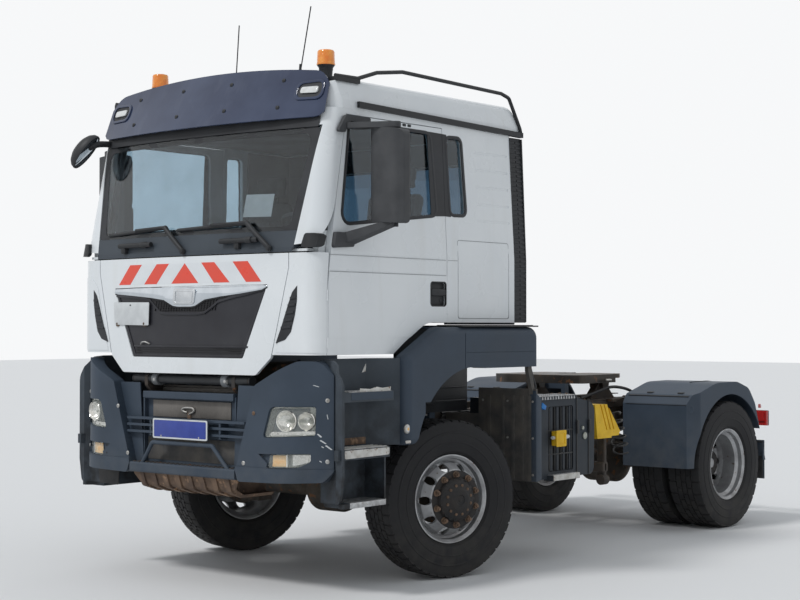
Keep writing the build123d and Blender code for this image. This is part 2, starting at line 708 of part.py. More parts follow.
def cab_sides(shell):
    front = door_rear + door_gap
    near = block(cab_half - 120, cab_half + 50, cab_front, side_rear - skin, 1720, 3070)
    side = (shell & near) & slab_x([(front, 1720), (700, 1720), (700, 3070), (front, 3070)],
                                   cab_half - 300, cab_half + 100)
    side -= quarter_hole()
    # Hatch joint and pressed ribs of the rear quarter.
    hatch = slab_x([(10, 1745, 20), (600, 1745, 20), (600, 2282, 20), (10, 2282, 20)], cab_half - 4, cab_half + 5)
    hatch -= slab_x([(16, 1751, 20), (594, 1751, 20), (594, 2276, 20), (16, 2276, 20)], cab_half - 5, cab_half + 6)
    side -= hatch
    for z in (2425, 2540, 2660, 2780, 2900):
        side -= bar_y(250, 640, side_half(z) + 8, z, 12)
    header = shell & slab_x([(door_edge_y(3070) - door_gap, 3070), (door_edge_y(3035) - door_gap, 3035),
                             (front, 3035), (front, 3070)], cab_half - 120, cab_half + 50)
    return both(side + header)


def cab_rear_wall(shell):
    wall = shell & block(-1200, 1200, side_rear - skin, side_rear + 10, 1720, 3070)
    window = slab_y([(-800, 2330, 40), (-60, 2330, 40), (-60, 2860, 40), (-800, 2860, 40)],
                    side_rear - 200, side_rear + 100)
    return wall - both(window)


def cab_front_frame(shell):
    # Pillars beside the windscreen, the bulkhead behind the front flap and the header over the glass.
    back = cab_front + 210
    pillars = shell & slab_x([(cab_front - 40, belt_z - 10)] + door_line(-door_gap, belt_z - 10, 3070)[2:]
                             + [(cab_front - 40, 3070)], 880, cab_half + 50)
    pillars -= screen_form(belt_z - 20, screen_top_z + 5)
    shape = both(pillars) + (shell & block(-1200, 1200, cab_front - 40, cab_front + 360, screen_top_z + 5, 3070))
    shape += block(-1070, 1070, back - 20, back, 1565, belt_z)
    shape += block(-1030, 1030, cab_front + 75, back, belt_z, belt_z + 16)
    for x in (-300, 300):
        shape += block(x - 13, x + 13, flap_axis_y, cab_front + 90, flap_axis_z - 5, flap_axis_z + 5)
        shape += block(x - 13, x + 13, cab_front + 75, cab_front + 90, flap_axis_z - 5, belt_z)
        shape += bar_x(x - 30, x + 30, flap_axis_y, flap_axis_z, 4)
    return shape + both(block(1020, 1070, cab_front + 130, back, belt_z - 10, screen_base_z))


def screen_form(low, high):
    # Front outline shared by the glass and the wiper panel; it widens upwards.
    right = [(screen_half(low), low), (screen_half(high), high)]
    left = [(-corner[0],) + corner[1:] for corner in reversed(right)]
    return slab_y(right + left, cab_front - 40, cab_front + 360)


def screen_half(z):
    return 930 + 96 * (z - belt_z) / (screen_top_z - belt_z)


def windscreen():
    return (cab_body(6) - cab_body(14)) & screen_form(screen_base_z, screen_top_z + 5)


def wiper_panel(shell):
    return shell & screen_form(belt_z + 16, screen_base_z)


def flap_form(grow, y0, y1):
    # Front outline of the flap; grow widens it for the shut line.
    right = [(630 + grow, 1385 - grow, 40), (757 + grow, 1497 - grow * 0.5, 30), (897 + grow, 2060),
             (897 + grow, flap_top + grow)]
    left = [(-corner[0],) + corner[1:] for corner in reversed(right)]
    return slab_y(right + left, y0, y1)


def vent_form():
    return slab_y([(803, 1590), (872, 1616, 12), (907, 1657, 30), (949, 1851), (967, 1945, 4), (932, 1905),
                   (906, 1839), (846, 1684)], cab_front - 100, cab_front + 200)


def corner_panels(shell, proud):
    shape = shell & slab_x([(cab_front - 40, 1490)] + door_line(-door_gap, 1490, belt_z - 10)[:2]
                           + [(corner_end, belt_z - 10), (cab_front - 40, belt_z - 10)], 700, cab_half + 50)
    border = slab_y([(800, 1530), (1200, 1530), (1200, swage_high), (1000, swage_high, 40), (925, 1965, 60)],
                    cab_front - 50, cab_front + 400)
    skins = proud & border & slab_x([(cab_front - 50, 1490)] + door_line(-door_gap, 1490, swage_high)[:2]
                                    + [(door_front + 8 - door_gap, swage_high), (cab_front - 50, swage_high)],
                                    700, cab_half + 50)
    shape = shape + skins - vent_form() - flap_form(shut_gap, cab_front - 100, cab_front + 260)
    return both(largest(shape - hinge_room() + hinge_posts()))


def front_flap():
    outer = cab_section(1300, cab_half, cab_front, front_sag, corner_x, corner_end, 0)
    hollow = cab_section(1200, cab_half - 20, cab_front + 20, front_sag, corner_x - 20, corner_end, 20)
    layer = extrude(outer, amount=900) - extrude(hollow, amount=1100)
    panel = (layer & flap_form(0, cab_front - 40, cab_front + 160)) - grille_form()
    for x in (-300, 300):
        for near in (-30, 15):
            lug = block(x + near, x + near + 15, flap_axis_y - 12, flap_axis_y + 8, flap_axis_z - 8, flap_axis_z + 8)
            panel += lug - bar_x(x - 40, x + 40, flap_axis_y, flap_axis_z, 4 + bearing_gap)
    return panel


def grille_form():
    return slab_y([(-524, 1490, 20), (524, 1490, 20), (725, 1945, 20), (-725, 1945, 20)],
                  cab_front - 100, cab_front + 160)


def grille():
    outer = cab_section(1300, cab_half, cab_front + 8, front_sag, corner_x, corner_end, 0)
    inner = cab_section(1200, cab_half, cab_front + 20, front_sag, corner_x, corner_end, 0)
    return (extrude(outer, amount=900) - extrude(inner, amount=1100)) & grille_form()


def cab_roof():
    # The roof moulding: its side outline crossed with its front outline and its bowed plan.
    base = 3070
    side = [(nose + 208, base), (nose + 240, base + 42), (nose + 350, 3252, 80), (nose + 900, 3336, 600),
            (400, 3336, 600), (690, 3288, 200), (flap_rear + 12, base)]
    right = [(1074, base), (1074, base + 55), (1046, 3264, 60), (600, 3328, 400)]
    left = [(-corner[0],) + corner[1:] for corner in reversed(right)]
    plan = extrude(cab_section(3000, 1080, nose + 210, 100, 960, nose + 420, flap_rear + 20), amount=500)
    outer = slab_x(side, -1200, 1200) & slab_y(right + left, nose, 900) & plan
    hollow = slab_x([(nose + 340, base - 10), (nose + 470, 3225), (640, 3255), (700, base - 10)], -1020, 1020)
    return outer - hollow


def sun_visor(roof):
    # A bowed sheet between a level lower edge and a crowned upper edge.
    low = 3005
    lower = [(1050, nose + 235, low), (0, nose + 115, low)]
    upper = [(1030, nose + 335, 3300), (0, nose + 300, 3370)]
    faces = []
    for (x, y, z), (_, mid_y, mid_z), dy, dz in ((*lower, 20, 0), (*upper, 9, -18)):
        faces.append(make_face([
            ThreePointArc((-x, y, z), (0, mid_y, mid_z), (x, y, z)),
            Line((x, y, z), (x, y + dy, z + dz)),
            ThreePointArc((x, y + dy, z + dz), (0, mid_y + dy, mid_z + dz), (-x, y + dy, z + dz)),
            Line((-x, y + dy, z + dz), (-x, y, z))]))
    clips = Part()
    for x, front in ((420, nose + 226), (820, nose + 269)):
        clips += both(block(x - 12, x + 12, front, front + 120, 3165, 3177))
    return loft(faces, ruled=True) + (clips - roof)


def beacons(roof):
    lamps = [bar_z(3230, 3385, x, nose + 535, 50) + bar_z(3385, 3485, x, nose + 535, 62) for x in (-796, 796)]
    return Part() + [largest(lamp - roof) for lamp in lamps]


def cab_trim(roof, shell):
    # Black fittings: roof rails, drip rails, vent inserts and the mirrors' pillar feet.
    rail = pipe([(1048, nose + 345, 3272), (1048, nose + 560, 3276), (1054, nose + 740, 3334),
                 (1054, nose + 1000, 3370), (1054, 600, 3350), (1054, 692, 3328), (1084, 786, 3112),
                 (1086, 798, 3066)], 13, 36)
    shoe = block(990, 1066, nose + 345, nose + 565, 3240, 3268)
    drip = slab_x([(nose + 525, 3084), (flap_rear, 3050), (flap_rear, 3086), (nose + 525, 3122)], 1060, 1096)
    trim = largest(rail + shoe + drip - roof - shell)
    insert = vent_form() & (cab_body(22) - cab_body(34))
    for z in (1690, 1845):
        insert += vent_form() & (cab_body(3) - cab_body(23)) & block(700, 1100, nose, nose + 400, z - 7, z + 7)
    foot = slab_y([(1010, 2180, 20), (1112, 2180, 20), (1112, 2268, 20), (1030, 2268, 20)],
                  cab_front, door_front + 4) & (cab_body(-26) - cab_body(2))
    foot = largest((foot & slab_x([(cab_front, 2100), (door_front + 10, 2180), (door_front + 28, 2268),
                                   (cab_front, 2300)], 900, 1200)) - shell)
    return both(trim) + both(insert) + both(foot)


def antennas(roof):
    masts = []
    for x, lean, height in ((41, 34, overall_height - 47), (630, 103, overall_height - 1)):
        foot = Vector(x, nose + 460, 3300)
        rise = Vector(lean, 0, height - 3300)
        mast = extrude(Plane(origin=foot, z_dir=rise) * Circle(4), amount=rise.length)
        masts.append(largest(mast + bar_z(3230, 3345, x, nose + 460, 16) - roof))
    return Part() + masts


def seat(x, floor):
    base = block(x - 200, x + 200, -700, -250, 1580, 1900)
    shape = slab_x([(-760, 1900, 40), (-220, 1900), (-200, 2030, 40), (-760, 2040, 50)], x - 250, x + 250)
    shape += slab_x([(-240, 1960), (-120, 1960, 30), (30, 2640, 50), (-110, 2640, 50)], x - 240, x + 240)
    shape += slab_x([(-60, 2640), (20, 2640), (50, 2820, 40), (-60, 2820, 40)], x - 140, x + 140)
    return largest(shape + base - floor)


def seats(floor):
    return Part() + [seat(-wheel_x, floor), seat(wheel_x, floor)]


def column_place():
    return Pos(wheel_x, wheel_y, wheel_z) * Rot(wheel_lean, 0, 0)


def steering_wheel():
    shape = Torus(215, 15) + Box(410, 44, 12) + Pos(0, 105, 0) * Box(44, 190, 12) + Cylinder(60, 36)
    return column_place() * shape


def dashboard():
    back = cab_front + 210
    panel = slab_x([(back, 1900), (back + 190, 1900), (back + 350, 2120, 60), (back + 290, 2260, 60), (back, 2275)],
                   -1020, 1020)
    return panel + column_place() * (Pos(0, 0, -148.5) * Cylinder(32, 260))


def door_mirror():
    # Left outside mirror with its bracket, arms and foot, all on the door.
    width = 0.8 * (mirror_half - cab_half)
    inner = mirror_half - width
    front = nose + 480
    head = slab_z([(inner, front + 60, 25), (inner + 38, front, 60), (mirror_half - 40, front + 6, 60),
                   (mirror_half, front + 60, 30), (mirror_half, front + 130, 25), (inner, front + 145, 25)],
                  2300, 2980)
    head &= slab_y([(inner - 24, 2352, 35), (mirror_half, 2337, 45), (mirror_half, 2925, 45), (inner + 12, 2950, 45)],
                   nose, 0)
    arm = slab_z([(1096, front - 110, 20), (1096, front + 10, 20), (mirror_half - 60, front + 115, 30),
                  (mirror_half - 40, front + 55, 30)], 2938, 2974)
    bracket = slab_x([(door_front + 112, 2912, 12), (door_front + 178, 2912, 12), (door_front + 228, 2985, 12),
                      (door_front + 420, 2985, 12), (door_front + 420, 3024, 12), (door_front + 190, 3024, 30)],
                     1086, 1112)
    bracket += block(1066, 1087, door_front + 260, door_front + 400, 2990, 3020)
    stalk = slab_y([(1112, 2196), (mirror_half - 90, 2330), (mirror_half - 90, 2362), (1112, 2270)],
                   front - 200, front + 120)
    stalk &= slab_z([(1112, front - 170), (1112, front - 62), (mirror_half - 100, front + 110),
                     (mirror_half - 88, front + 40)], 2180, 2380)
    foot = slab_x([(door_front + 36, 2180, 15), (door_front + 226, 2192, 15), (door_front + 220, 2280, 20),
                   (door_front + 60, 2280, 15)], cab_half - 20, cab_half + 26)
    return head + arm + bracket + stalk + foot


def front_mirror(carriers):
    # Bowl-shaped mirror ahead of the right pillar, on an arm from the pillar's top.
    bowl = Pos(-1075, nose + 70, 2925) * Rot(0, 38, 0) * Rot(18, 0, 0) * (
        Pos(0, 60, 0) * Sphere(150) & Box(300, 110, 210))
    arm = pipe([(-990, nose + 262, 2975), (-985, nose + 140, 2975), (-1020, nose + 90, 2965)], 22, 30)
    shape = bowl + arm
    for carrier in carriers:
        shape -= carrier
    return largest(shape)


def side_flaps():
    top = 3044
    outline_points = [(cab_half - 60, 1720), (cab_half - 6, 1720), (cab_half - 6, belt_z),
                      (side_half(top) - 6, top), (side_half(top) - 60, top)]
    return both(slab_y(outline_points, side_rear, flap_rear))


def finish(node, shape):
    export_step(Pos(0, axle_shift, 0) * shape, "parts/" + node + ".step")
    print(node, len(shape.solids()), round(shape.volume / 1e9, 4))


def chassis_nodes():
    bumper_ends = bumper_corners()
    leaves = springs()
    guards = mudguards()
    return {
        "frame_rails": frame_rails(), "crossmembers": crossmembers() + front_bearers(),
        "bumper_centre": largest(bumper_centre() - bumper_ends), "bumper_corners": bumper_ends,
        "front_lamps": front_lamps(), "tail_lamps": tail_lamps(), "skid_plate": skid_plate(),
        "radiator": radiator(), "powertrain": powertrain(), "front_axle": front_axle() - leaves,
        "rear_axle": rear_axle() - leaves, "springs": leaves, "battery_box": battery_box(),
        "fuel_tank": fuel_tank(), "mudguards": guards, "wheel_arches": wheel_arches(),
        "entry_steps": entry_steps(), "splash_panels": splash_panels(),
        "fifth_wheel_mount": fifth_wheel_mount(), "wheel_chocks": wheel_chocks(), "fifth_wheel": fifth_wheel(),
    }


def cab_nodes():
    shell = cab_body(0) - cab_body(skin)
    proud = cab_body(-swage_depth) - cab_body(0.5)
    glass = cab_body(14) - cab_body(20)
    roof = cab_roof()
    floor = cab_floor()
    panel = wiper_panel(shell)
    corners = corner_panels(shell, proud)
    visor = sun_visor(roof)
    screen = windscreen()
    sides = cab_sides(shell)
    frame = largest(cab_front_frame(shell) - panel - corners)
    left_door = door(shell, proud)
    door_glass = pane(glass, window_hole(), door_rear)
    left_mirror = door_mirror() - left_door - door_glass
    return {
        "cab_floor": floor, "cab_sides": sides, "cab_rear_wall": cab_rear_wall(shell), "cab_roof": roof,
        "cab_front": frame, "windscreen": screen, "quarter_glass": both(pane(glass, quarter_hole(), 300)),
        "corner_panels": corners, "wiper_panel": panel, "sun_visor": visor, "beacons": beacons(roof),
        "cab_trim": cab_trim(roof, shell), "antennas": antennas(roof), "dashboard": dashboard(),
        "seats": seats(floor), "steering_wheel": steering_wheel(),
        "front_mirror": front_mirror([sides, visor, frame, roof, screen]), "side_flaps": side_flaps(),
        "front_flap": front_flap(), "grille": grille(),
        "door_left": left_door, "door_right": mirrored(left_door),
        "door_glass_left": door_glass, "door_glass_right": mirrored(door_glass),
        "mirror_left": left_mirror, "mirror_right": mirrored(left_mirror),
    }


def wheel_nodes():
    rim = front_rim()
    rubber = tyre(front_wheel_x, 0)
    twin_rims = rear_rims()
    twin_tyres = rear_tyres()
    return {
        "knuckle_left": steered(knuckle()), "knuckle_right": right_steered(knuckle()),
        "front_rim_left": steered(rim), "front_rim_right": right_steered(rim),
        "front_tyre_left": steered(rubber), "front_tyre_right": right_steered(rubber),
        "rear_rims_left": twin_rims, "rear_rims_right": mirrored(twin_rims),
        "rear_tyres_left": twin_tyres, "rear_tyres_right": mirrored(twin_tyres),
    }


def build():
    os.makedirs("parts", exist_ok=True)
    for nodes in (chassis_nodes(), cab_nodes(), wheel_nodes()):
        for node, shape in nodes.items():
            finish(node, shape)


build()
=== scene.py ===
import math
import random
import bpy
from mathutils import Matrix, Vector


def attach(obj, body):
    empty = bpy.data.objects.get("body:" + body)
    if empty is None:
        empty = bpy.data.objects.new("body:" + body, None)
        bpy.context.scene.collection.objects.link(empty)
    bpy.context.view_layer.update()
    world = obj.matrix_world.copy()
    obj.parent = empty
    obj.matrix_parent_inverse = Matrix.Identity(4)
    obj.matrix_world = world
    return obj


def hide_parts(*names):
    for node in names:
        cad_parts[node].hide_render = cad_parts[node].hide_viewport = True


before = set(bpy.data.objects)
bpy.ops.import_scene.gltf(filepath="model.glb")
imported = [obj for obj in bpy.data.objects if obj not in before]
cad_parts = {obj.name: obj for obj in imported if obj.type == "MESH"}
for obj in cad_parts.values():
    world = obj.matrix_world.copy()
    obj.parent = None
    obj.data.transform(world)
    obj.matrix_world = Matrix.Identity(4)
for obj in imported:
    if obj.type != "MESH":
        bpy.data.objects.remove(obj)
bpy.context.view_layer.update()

random.seed(7)
axleShift = -1450    # frame y of the front axle; sizes below are millimetres from that axle


# ---- camera, light and floor
studio = {
    "cameraAt": (7.815, -10.093, 1.690), "turn": 39.79, "tilt": 0.959, "lens": 72.414,
    "skyColour": (0.90, 0.95, 1.0, 1), "skyStrength": 0.56, "backdrop": (0.93, 0.94, 0.95, 1),
    "floorColour": (0.78, 0.78, 0.78, 1),
    "sunStrength": 1.4, "sunFrom": (-0.25, -1.0, 1.15), "sunSoftness": 10,
}


def buildStudio():
    cam = bpy.data.cameras.new("photoCamera")
    cam.lens = studio["lens"]
    cam.sensor_width = 36
    camera = bpy.data.objects.new("photoCamera", cam)
    bpy.context.collection.objects.link(camera)
    turn, tilt = math.radians(studio["turn"]), math.radians(studio["tilt"])
    look = Vector((-math.sin(turn) * math.cos(tilt), math.cos(turn) * math.cos(tilt), math.sin(tilt)))
    camera.location = studio["cameraAt"]
    camera.rotation_euler = look.to_track_quat("-Z", "Y").to_euler()
    bpy.context.scene.camera = camera

    world = bpy.data.worlds.new("studioSky")
    bpy.context.scene.world = world
    world.use_nodes = True
    tree = world.node_tree
    tree.nodes.clear()
    rays = tree.nodes.new("ShaderNodeLightPath")
    seen = tree.nodes.new("ShaderNodeMath")
    seen.operation = "MAXIMUM"
    tree.links.new(rays.outputs["Is Camera Ray"], seen.inputs[0])
    tree.links.new(rays.outputs["Is Transmission Ray"], seen.inputs[1])
    shining = tree.nodes.new("ShaderNodeMath")
    shining.operation = "MAXIMUM"
    tree.links.new(seen.outputs[0], shining.inputs[0])
    tree.links.new(rays.outputs["Is Glossy Ray"], shining.inputs[1])
    lit = tree.nodes.new("ShaderNodeBackground")
    lit.inputs["Color"].default_value = studio["skyColour"]
    lit.inputs["Strength"].default_value = studio["skyStrength"]
    back = tree.nodes.new("ShaderNodeBackground")
    back.inputs["Color"].default_value = studio["backdrop"]
    back.inputs["Strength"].default_value = 1.0
    mix = tree.nodes.new("ShaderNodeMixShader")
    out = tree.nodes.new("ShaderNodeOutputWorld")
    tree.links.new(shining.outputs[0], mix.inputs[0])
    tree.links.new(lit.outputs[0], mix.inputs[1])
    tree.links.new(back.outputs[0], mix.inputs[2])
    tree.links.new(mix.outputs[0], out.inputs[0])

    sun = bpy.data.lights.new("softSun", "SUN")
    sun.energy = studio["sunStrength"]
    sun.angle = math.radians(studio["sunSoftness"])
    lamp = bpy.data.objects.new("softSun", sun)
    lamp.rotation_euler = Vector(studio["sunFrom"]).to_track_quat("Z", "Y").to_euler()
    bpy.context.collection.objects.link(lamp)

    deselectAll()
    bpy.ops.mesh.primitive_plane_add(size=120, location=(0, 0, 0))
    floor = bpy.context.active_object
    floor.name = "studioFloor"
    paint = bpy.data.materials.new("floorPaint")
    paint.use_nodes = True
    shader = paint.node_tree.nodes["Principled BSDF"]
    shader.inputs["Base Color"].default_value = studio["floorColour"]
    shader.inputs["Roughness"].default_value = 0.85
    floor.data.materials.append(paint)
    bpy.context.scene.view_settings.view_transform = "Standard"
    print("studio ready")


# ---- finishes: each is a few soft layers of noise on Object coordinates
# base and worn are the two colours that the paint drifts between, cloud how large the patches are;
# the low tint is mixed in towards the bottom, below its top height: road dust on most finishes, painted shade on the
# entry steps; marks are small spots of another colour; grain is the fine bump.
plainFinish = {
    "base": (0.5, 0.5, 0.5), "worn": (0.45, 0.45, 0.45), "cloud": 3.0, "rough": (0.4, 0.55), "metal": 0.0,
    "dustAndShade": (0.20, 0.18, 0.15), "dustAndShadeTop": 0.0, "dustAndShadeMost": 0.0, "grain": 300, "bump": 0.0,
    "marks": None, "markScale": 30, "markLevel": 0.68, "coat": 0.0, "specular": 0.3,
    "ribs": None, "streaks": None, "glow": 0.0,
}
finishes = {
    "cabWhite": {"specular": 0.5, "base": (0.76, 0.785, 0.80), "worn": (0.71, 0.74, 0.76), "cloud": 1.6, "rough": (0.22, 0.34),
                 "coat": 0.25, "bump": 0.015, "grain": 90, "dustAndShade": (0.42, 0.40, 0.36), "dustAndShadeTop": 1.75,
                 "dustAndShadeMost": 0.22, "streaks": (0.66, 0.67, 0.66)},
    "cabInner": {"base": (0.16, 0.17, 0.18), "worn": (0.11, 0.115, 0.12), "rough": (0.7, 0.85), "bump": 0.08},
    "bumperGrey": {"base": (0.032, 0.046, 0.066), "worn": (0.046, 0.063, 0.088), "cloud": 2.4,
                   "rough": (0.50, 0.66), "bump": 0.10, "grain": 420, "marks": (0.30, 0.33, 0.36),
                   "markScale": 46, "markLevel": 0.735, "dustAndShade": (0.20, 0.19, 0.17), "dustAndShadeTop": 1.0, "dustAndShadeMost": 0.30},
    "blackTrim": {"base": (0.016, 0.017, 0.019), "worn": (0.030, 0.032, 0.035), "cloud": 5, "rough": (0.42, 0.6),
                  "bump": 0.08, "dustAndShade": (0.13, 0.12, 0.10), "dustAndShadeTop": 1.1, "dustAndShadeMost": 0.30},
    "flapBlack": {"base": (0.020, 0.021, 0.024), "worn": (0.036, 0.038, 0.042), "cloud": 4, "rough": (0.48, 0.62),
                  "bump": 0.05},
    "scuttleGrey": {"base": (0.040, 0.050, 0.062), "worn": (0.052, 0.064, 0.078), "cloud": 3,
                    "rough": (0.42, 0.55), "bump": 0.06, "grain": 380},
    "grilleGrey": {"base": (0.014, 0.014, 0.019), "worn": (0.026, 0.027, 0.033), "cloud": 3, "rough": (0.34, 0.48),
                   "coat": 0.1, "dustAndShade": (0.12, 0.115, 0.11), "dustAndShadeTop": 1.75, "dustAndShadeMost": 0.45},
    "grilleMesh": {"base": (0.010, 0.010, 0.012), "worn": (0.02, 0.02, 0.022), "rough": (0.5, 0.7), "bump": 0.3,
                   "grain": 120},
    "visorSmoke": {"base": (0.020, 0.031, 0.072), "worn": (0.040, 0.056, 0.108), "cloud": 2.2,
                   "rough": (0.06, 0.16), "coat": 0.25, "streaks": (0.075, 0.09, 0.14)},
    "frameSteel": {"base": (0.040, 0.036, 0.034), "worn": (0.075, 0.058, 0.046), "cloud": 6, "rough": (0.62, 0.82),
                   "metal": 0.2, "bump": 0.22, "marks": (0.16, 0.075, 0.035), "markScale": 16, "markLevel": 0.60,
                   "dustAndShade": (0.17, 0.145, 0.12), "dustAndShadeTop": 1.15, "dustAndShadeMost": 0.35},
    "axleIron": {"base": (0.045, 0.041, 0.038), "worn": (0.085, 0.070, 0.055), "cloud": 7, "rough": (0.65, 0.85),
                 "metal": 0.15, "bump": 0.3, "grain": 160, "marks": (0.20, 0.10, 0.05), "markScale": 18,
                 "markLevel": 0.58, "dustAndShade": (0.19, 0.165, 0.14), "dustAndShadeTop": 0.95, "dustAndShadeMost": 0.45},
    "skidRust": {"base": (0.165, 0.110, 0.075), "worn": (0.085, 0.060, 0.048), "cloud": 9, "rough": (0.7, 0.9),
                 "metal": 0.1, "bump": 0.35, "grain": 130, "marks": (0.30, 0.19, 0.12), "markScale": 14,
                 "markLevel": 0.58},
    "radiatorAlloy": {"base": (0.135, 0.125, 0.115), "worn": (0.21, 0.195, 0.18), "cloud": 5, "rough": (0.55, 0.75),
                      "metal": 0.45, "bump": 0.15, "marks": (0.10, 0.075, 0.05), "markScale": 9,
                      "ribs": ("x", 340, 0.25)},
    "boxPlastic": {"base": (0.018, 0.024, 0.033), "worn": (0.032, 0.040, 0.050), "cloud": 4, "rough": (0.5, 0.68),
                   "bump": 0.10, "dustAndShade": (0.16, 0.15, 0.13), "dustAndShadeTop": 1.15, "dustAndShadeMost": 0.14,
                   "marks": (0.13, 0.12, 0.11), "markScale": 35, "markLevel": 0.70},
    "tankAlloy": {"base": (0.52, 0.53, 0.54), "worn": (0.42, 0.43, 0.44), "cloud": 3, "rough": (0.28, 0.45),
                  "metal": 0.85, "bump": 0.05, "dustAndShade": (0.22, 0.20, 0.17), "dustAndShadeTop": 0.95, "dustAndShadeMost": 0.5},
    "couplingSteel": {"base": (0.030, 0.029, 0.028), "worn": (0.080, 0.066, 0.054), "cloud": 5,
                      "rough": (0.35, 0.6), "metal": 0.45, "bump": 0.12, "marks": (0.17, 0.085, 0.045),
                      "markScale": 12, "markLevel": 0.58},
    "chockYellow": {"base": (0.82, 0.52, 0.020), "worn": (0.70, 0.42, 0.022), "cloud": 9, "rough": (0.45, 0.6),
                    "bump": 0.06, "marks": (0.25, 0.17, 0.06), "markScale": 40, "markLevel": 0.66},
    "rimSilver": {"base": (0.44, 0.45, 0.46), "worn": (0.30, 0.30, 0.31), "cloud": 9, "rough": (0.38, 0.55),
                  "metal": 0.6, "bump": 0.06, "marks": (0.14, 0.085, 0.055), "markScale": 26, "markLevel": 0.64,
                  "dustAndShade": (0.15, 0.13, 0.11), "dustAndShadeTop": 0.62, "dustAndShadeMost": 0.35},
    "hubIron": {"base": (0.018, 0.018, 0.019), "worn": (0.034, 0.030, 0.028), "cloud": 14, "rough": (0.5, 0.7),
                "metal": 0.2, "bump": 0.25, "marks": (0.11, 0.065, 0.040), "markScale": 34, "markLevel": 0.66},
    "nutRust": {"base": (0.210, 0.135, 0.090), "worn": (0.110, 0.080, 0.060), "cloud": 40, "rough": (0.6, 0.8),
                "metal": 0.3, "bump": 0.2},
    # Entry steps: the near-black low tint is painted shade, darkening the steps towards the bottom under the treads.
    "stepGrey": {"base": (0.040, 0.052, 0.066), "worn": (0.060, 0.072, 0.086), "cloud": 5, "rough": (0.5, 0.66),
                 "bump": 0.10, "grain": 420, "dustAndShade": (0.014, 0.015, 0.017), "dustAndShadeTop": 1.45, "dustAndShadeMost": 1.3,
                 "marks": (0.30, 0.31, 0.31), "markScale": 38, "markLevel": 0.72},
    "splashDust": {"base": (0.130, 0.118, 0.102), "worn": (0.060, 0.060, 0.062), "cloud": 5, "rough": (0.7, 0.85),
                   "bump": 0.15, "grain": 200, "streaks": (0.20, 0.185, 0.165)},
    "satinSilver": {"base": (0.66, 0.68, 0.70), "worn": (0.56, 0.58, 0.60), "cloud": 12, "rough": (0.16, 0.28),
                    "metal": 0.9},
    "mirrorGrey": {"base": (0.050, 0.052, 0.056), "worn": (0.072, 0.074, 0.078), "cloud": 7, "rough": (0.6, 0.75),
                   "bump": 0.25, "grain": 500},
    "tyreRubber": {"base": (0.011, 0.011, 0.013), "worn": (0.021, 0.021, 0.022), "cloud": 6, "rough": (0.66, 0.82),
                   "bump": 0.12, "grain": 240, "dustAndShade": (0.075, 0.068, 0.058), "dustAndShadeTop": 0.55, "dustAndShadeMost": 0.30},
    "hazardRed": {"base": (0.78, 0.075, 0.045), "worn": (0.72, 0.085, 0.055), "cloud": 9, "rough": (0.25, 0.35),
                  "bump": 0.04, "grain": 700, "coat": 0.2},
    "hazardWhite": {"base": (0.73, 0.755, 0.775), "worn": (0.69, 0.715, 0.735), "cloud": 9, "rough": (0.25, 0.35),
                    "bump": 0.04, "grain": 700, "coat": 0.2},
    "brightChrome": {"base": (0.66, 0.70, 0.74), "worn": (0.58, 0.62, 0.66), "cloud": 12, "rough": (0.05, 0.14),
                     "metal": 1.0},
    "dullSteel": {"base": (0.46, 0.46, 0.45), "worn": (0.34, 0.33, 0.31), "cloud": 18, "rough": (0.35, 0.55),
                  "metal": 0.8, "bump": 0.1, "marks": (0.22, 0.12, 0.06), "markScale": 60, "markLevel": 0.66},
    "treadAlloy": {"base": (0.50, 0.51, 0.52), "worn": (0.30, 0.30, 0.30), "cloud": 22, "rough": (0.35, 0.55),
                   "metal": 0.75, "bump": 0.15, "marks": (0.15, 0.10, 0.06), "markScale": 55, "markLevel": 0.62},
    "wornWhite": {"base": (0.66, 0.65, 0.62), "worn": (0.50, 0.48, 0.44), "cloud": 16, "rough": (0.5, 0.7),
                  "bump": 0.15, "marks": (0.20, 0.11, 0.06), "markScale": 34, "markLevel": 0.60},
    "cardWhite": {"base": (0.62, 0.64, 0.65), "worn": (0.54, 0.56, 0.57), "cloud": 14, "rough": (0.4, 0.55),
                  "bump": 0.05, "marks": (0.36, 0.30, 0.24), "markScale": 20, "markLevel": 0.72},
    "plateBlue": {"base": (0.018, 0.040, 0.26), "worn": (0.026, 0.052, 0.30), "cloud": 14, "rough": (0.3, 0.4),
                  "coat": 0.3},
    "lampChrome": {"base": (0.78, 0.77, 0.73), "worn": (0.60, 0.58, 0.54), "cloud": 30, "rough": (0.08, 0.22),
                   "metal": 1.0},
    "lampBowl": {"base": (0.42, 0.43, 0.39), "worn": (0.22, 0.23, 0.20), "cloud": 22, "rough": (0.2, 0.4),
                 "metal": 0.5},
    "amberGlass": {"base": (0.74, 0.19, 0.018), "worn": (0.86, 0.33, 0.05), "cloud": 22, "rough": (0.12, 0.22),
                   "coat": 0.5, "ribs": ("z", 240, 0.10), "glow": 0.06},
    "lampAmber": {"base": (0.86, 0.46, 0.12), "worn": (0.80, 0.56, 0.26), "cloud": 30, "rough": (0.12, 0.22),
                  "coat": 0.5},
    "tailRed": {"base": (0.45, 0.018, 0.015), "worn": (0.38, 0.02, 0.018), "cloud": 20, "rough": (0.12, 0.25),
                "coat": 0.5, "ribs": ("x", 260, 0.10)},
    "seatFabric": {"base": (0.055, 0.058, 0.066), "worn": (0.085, 0.090, 0.10), "cloud": 12, "rough": (0.8, 0.92),
                   "bump": 0.25, "grain": 520},
    "dashPlastic": {"base": (0.052, 0.056, 0.062), "worn": (0.075, 0.080, 0.086), "cloud": 5, "rough": (0.6, 0.75),
                    "bump": 0.15, "grain": 480},
    "beltGrey": {"base": (0.020, 0.020, 0.022), "worn": (0.04, 0.04, 0.044), "rough": (0.7, 0.8)},
    "mirrorGlass": {"base": (0.60, 0.66, 0.70), "worn": (0.55, 0.61, 0.66), "cloud": 3, "rough": (0.02, 0.06),
                    "metal": 1.0},
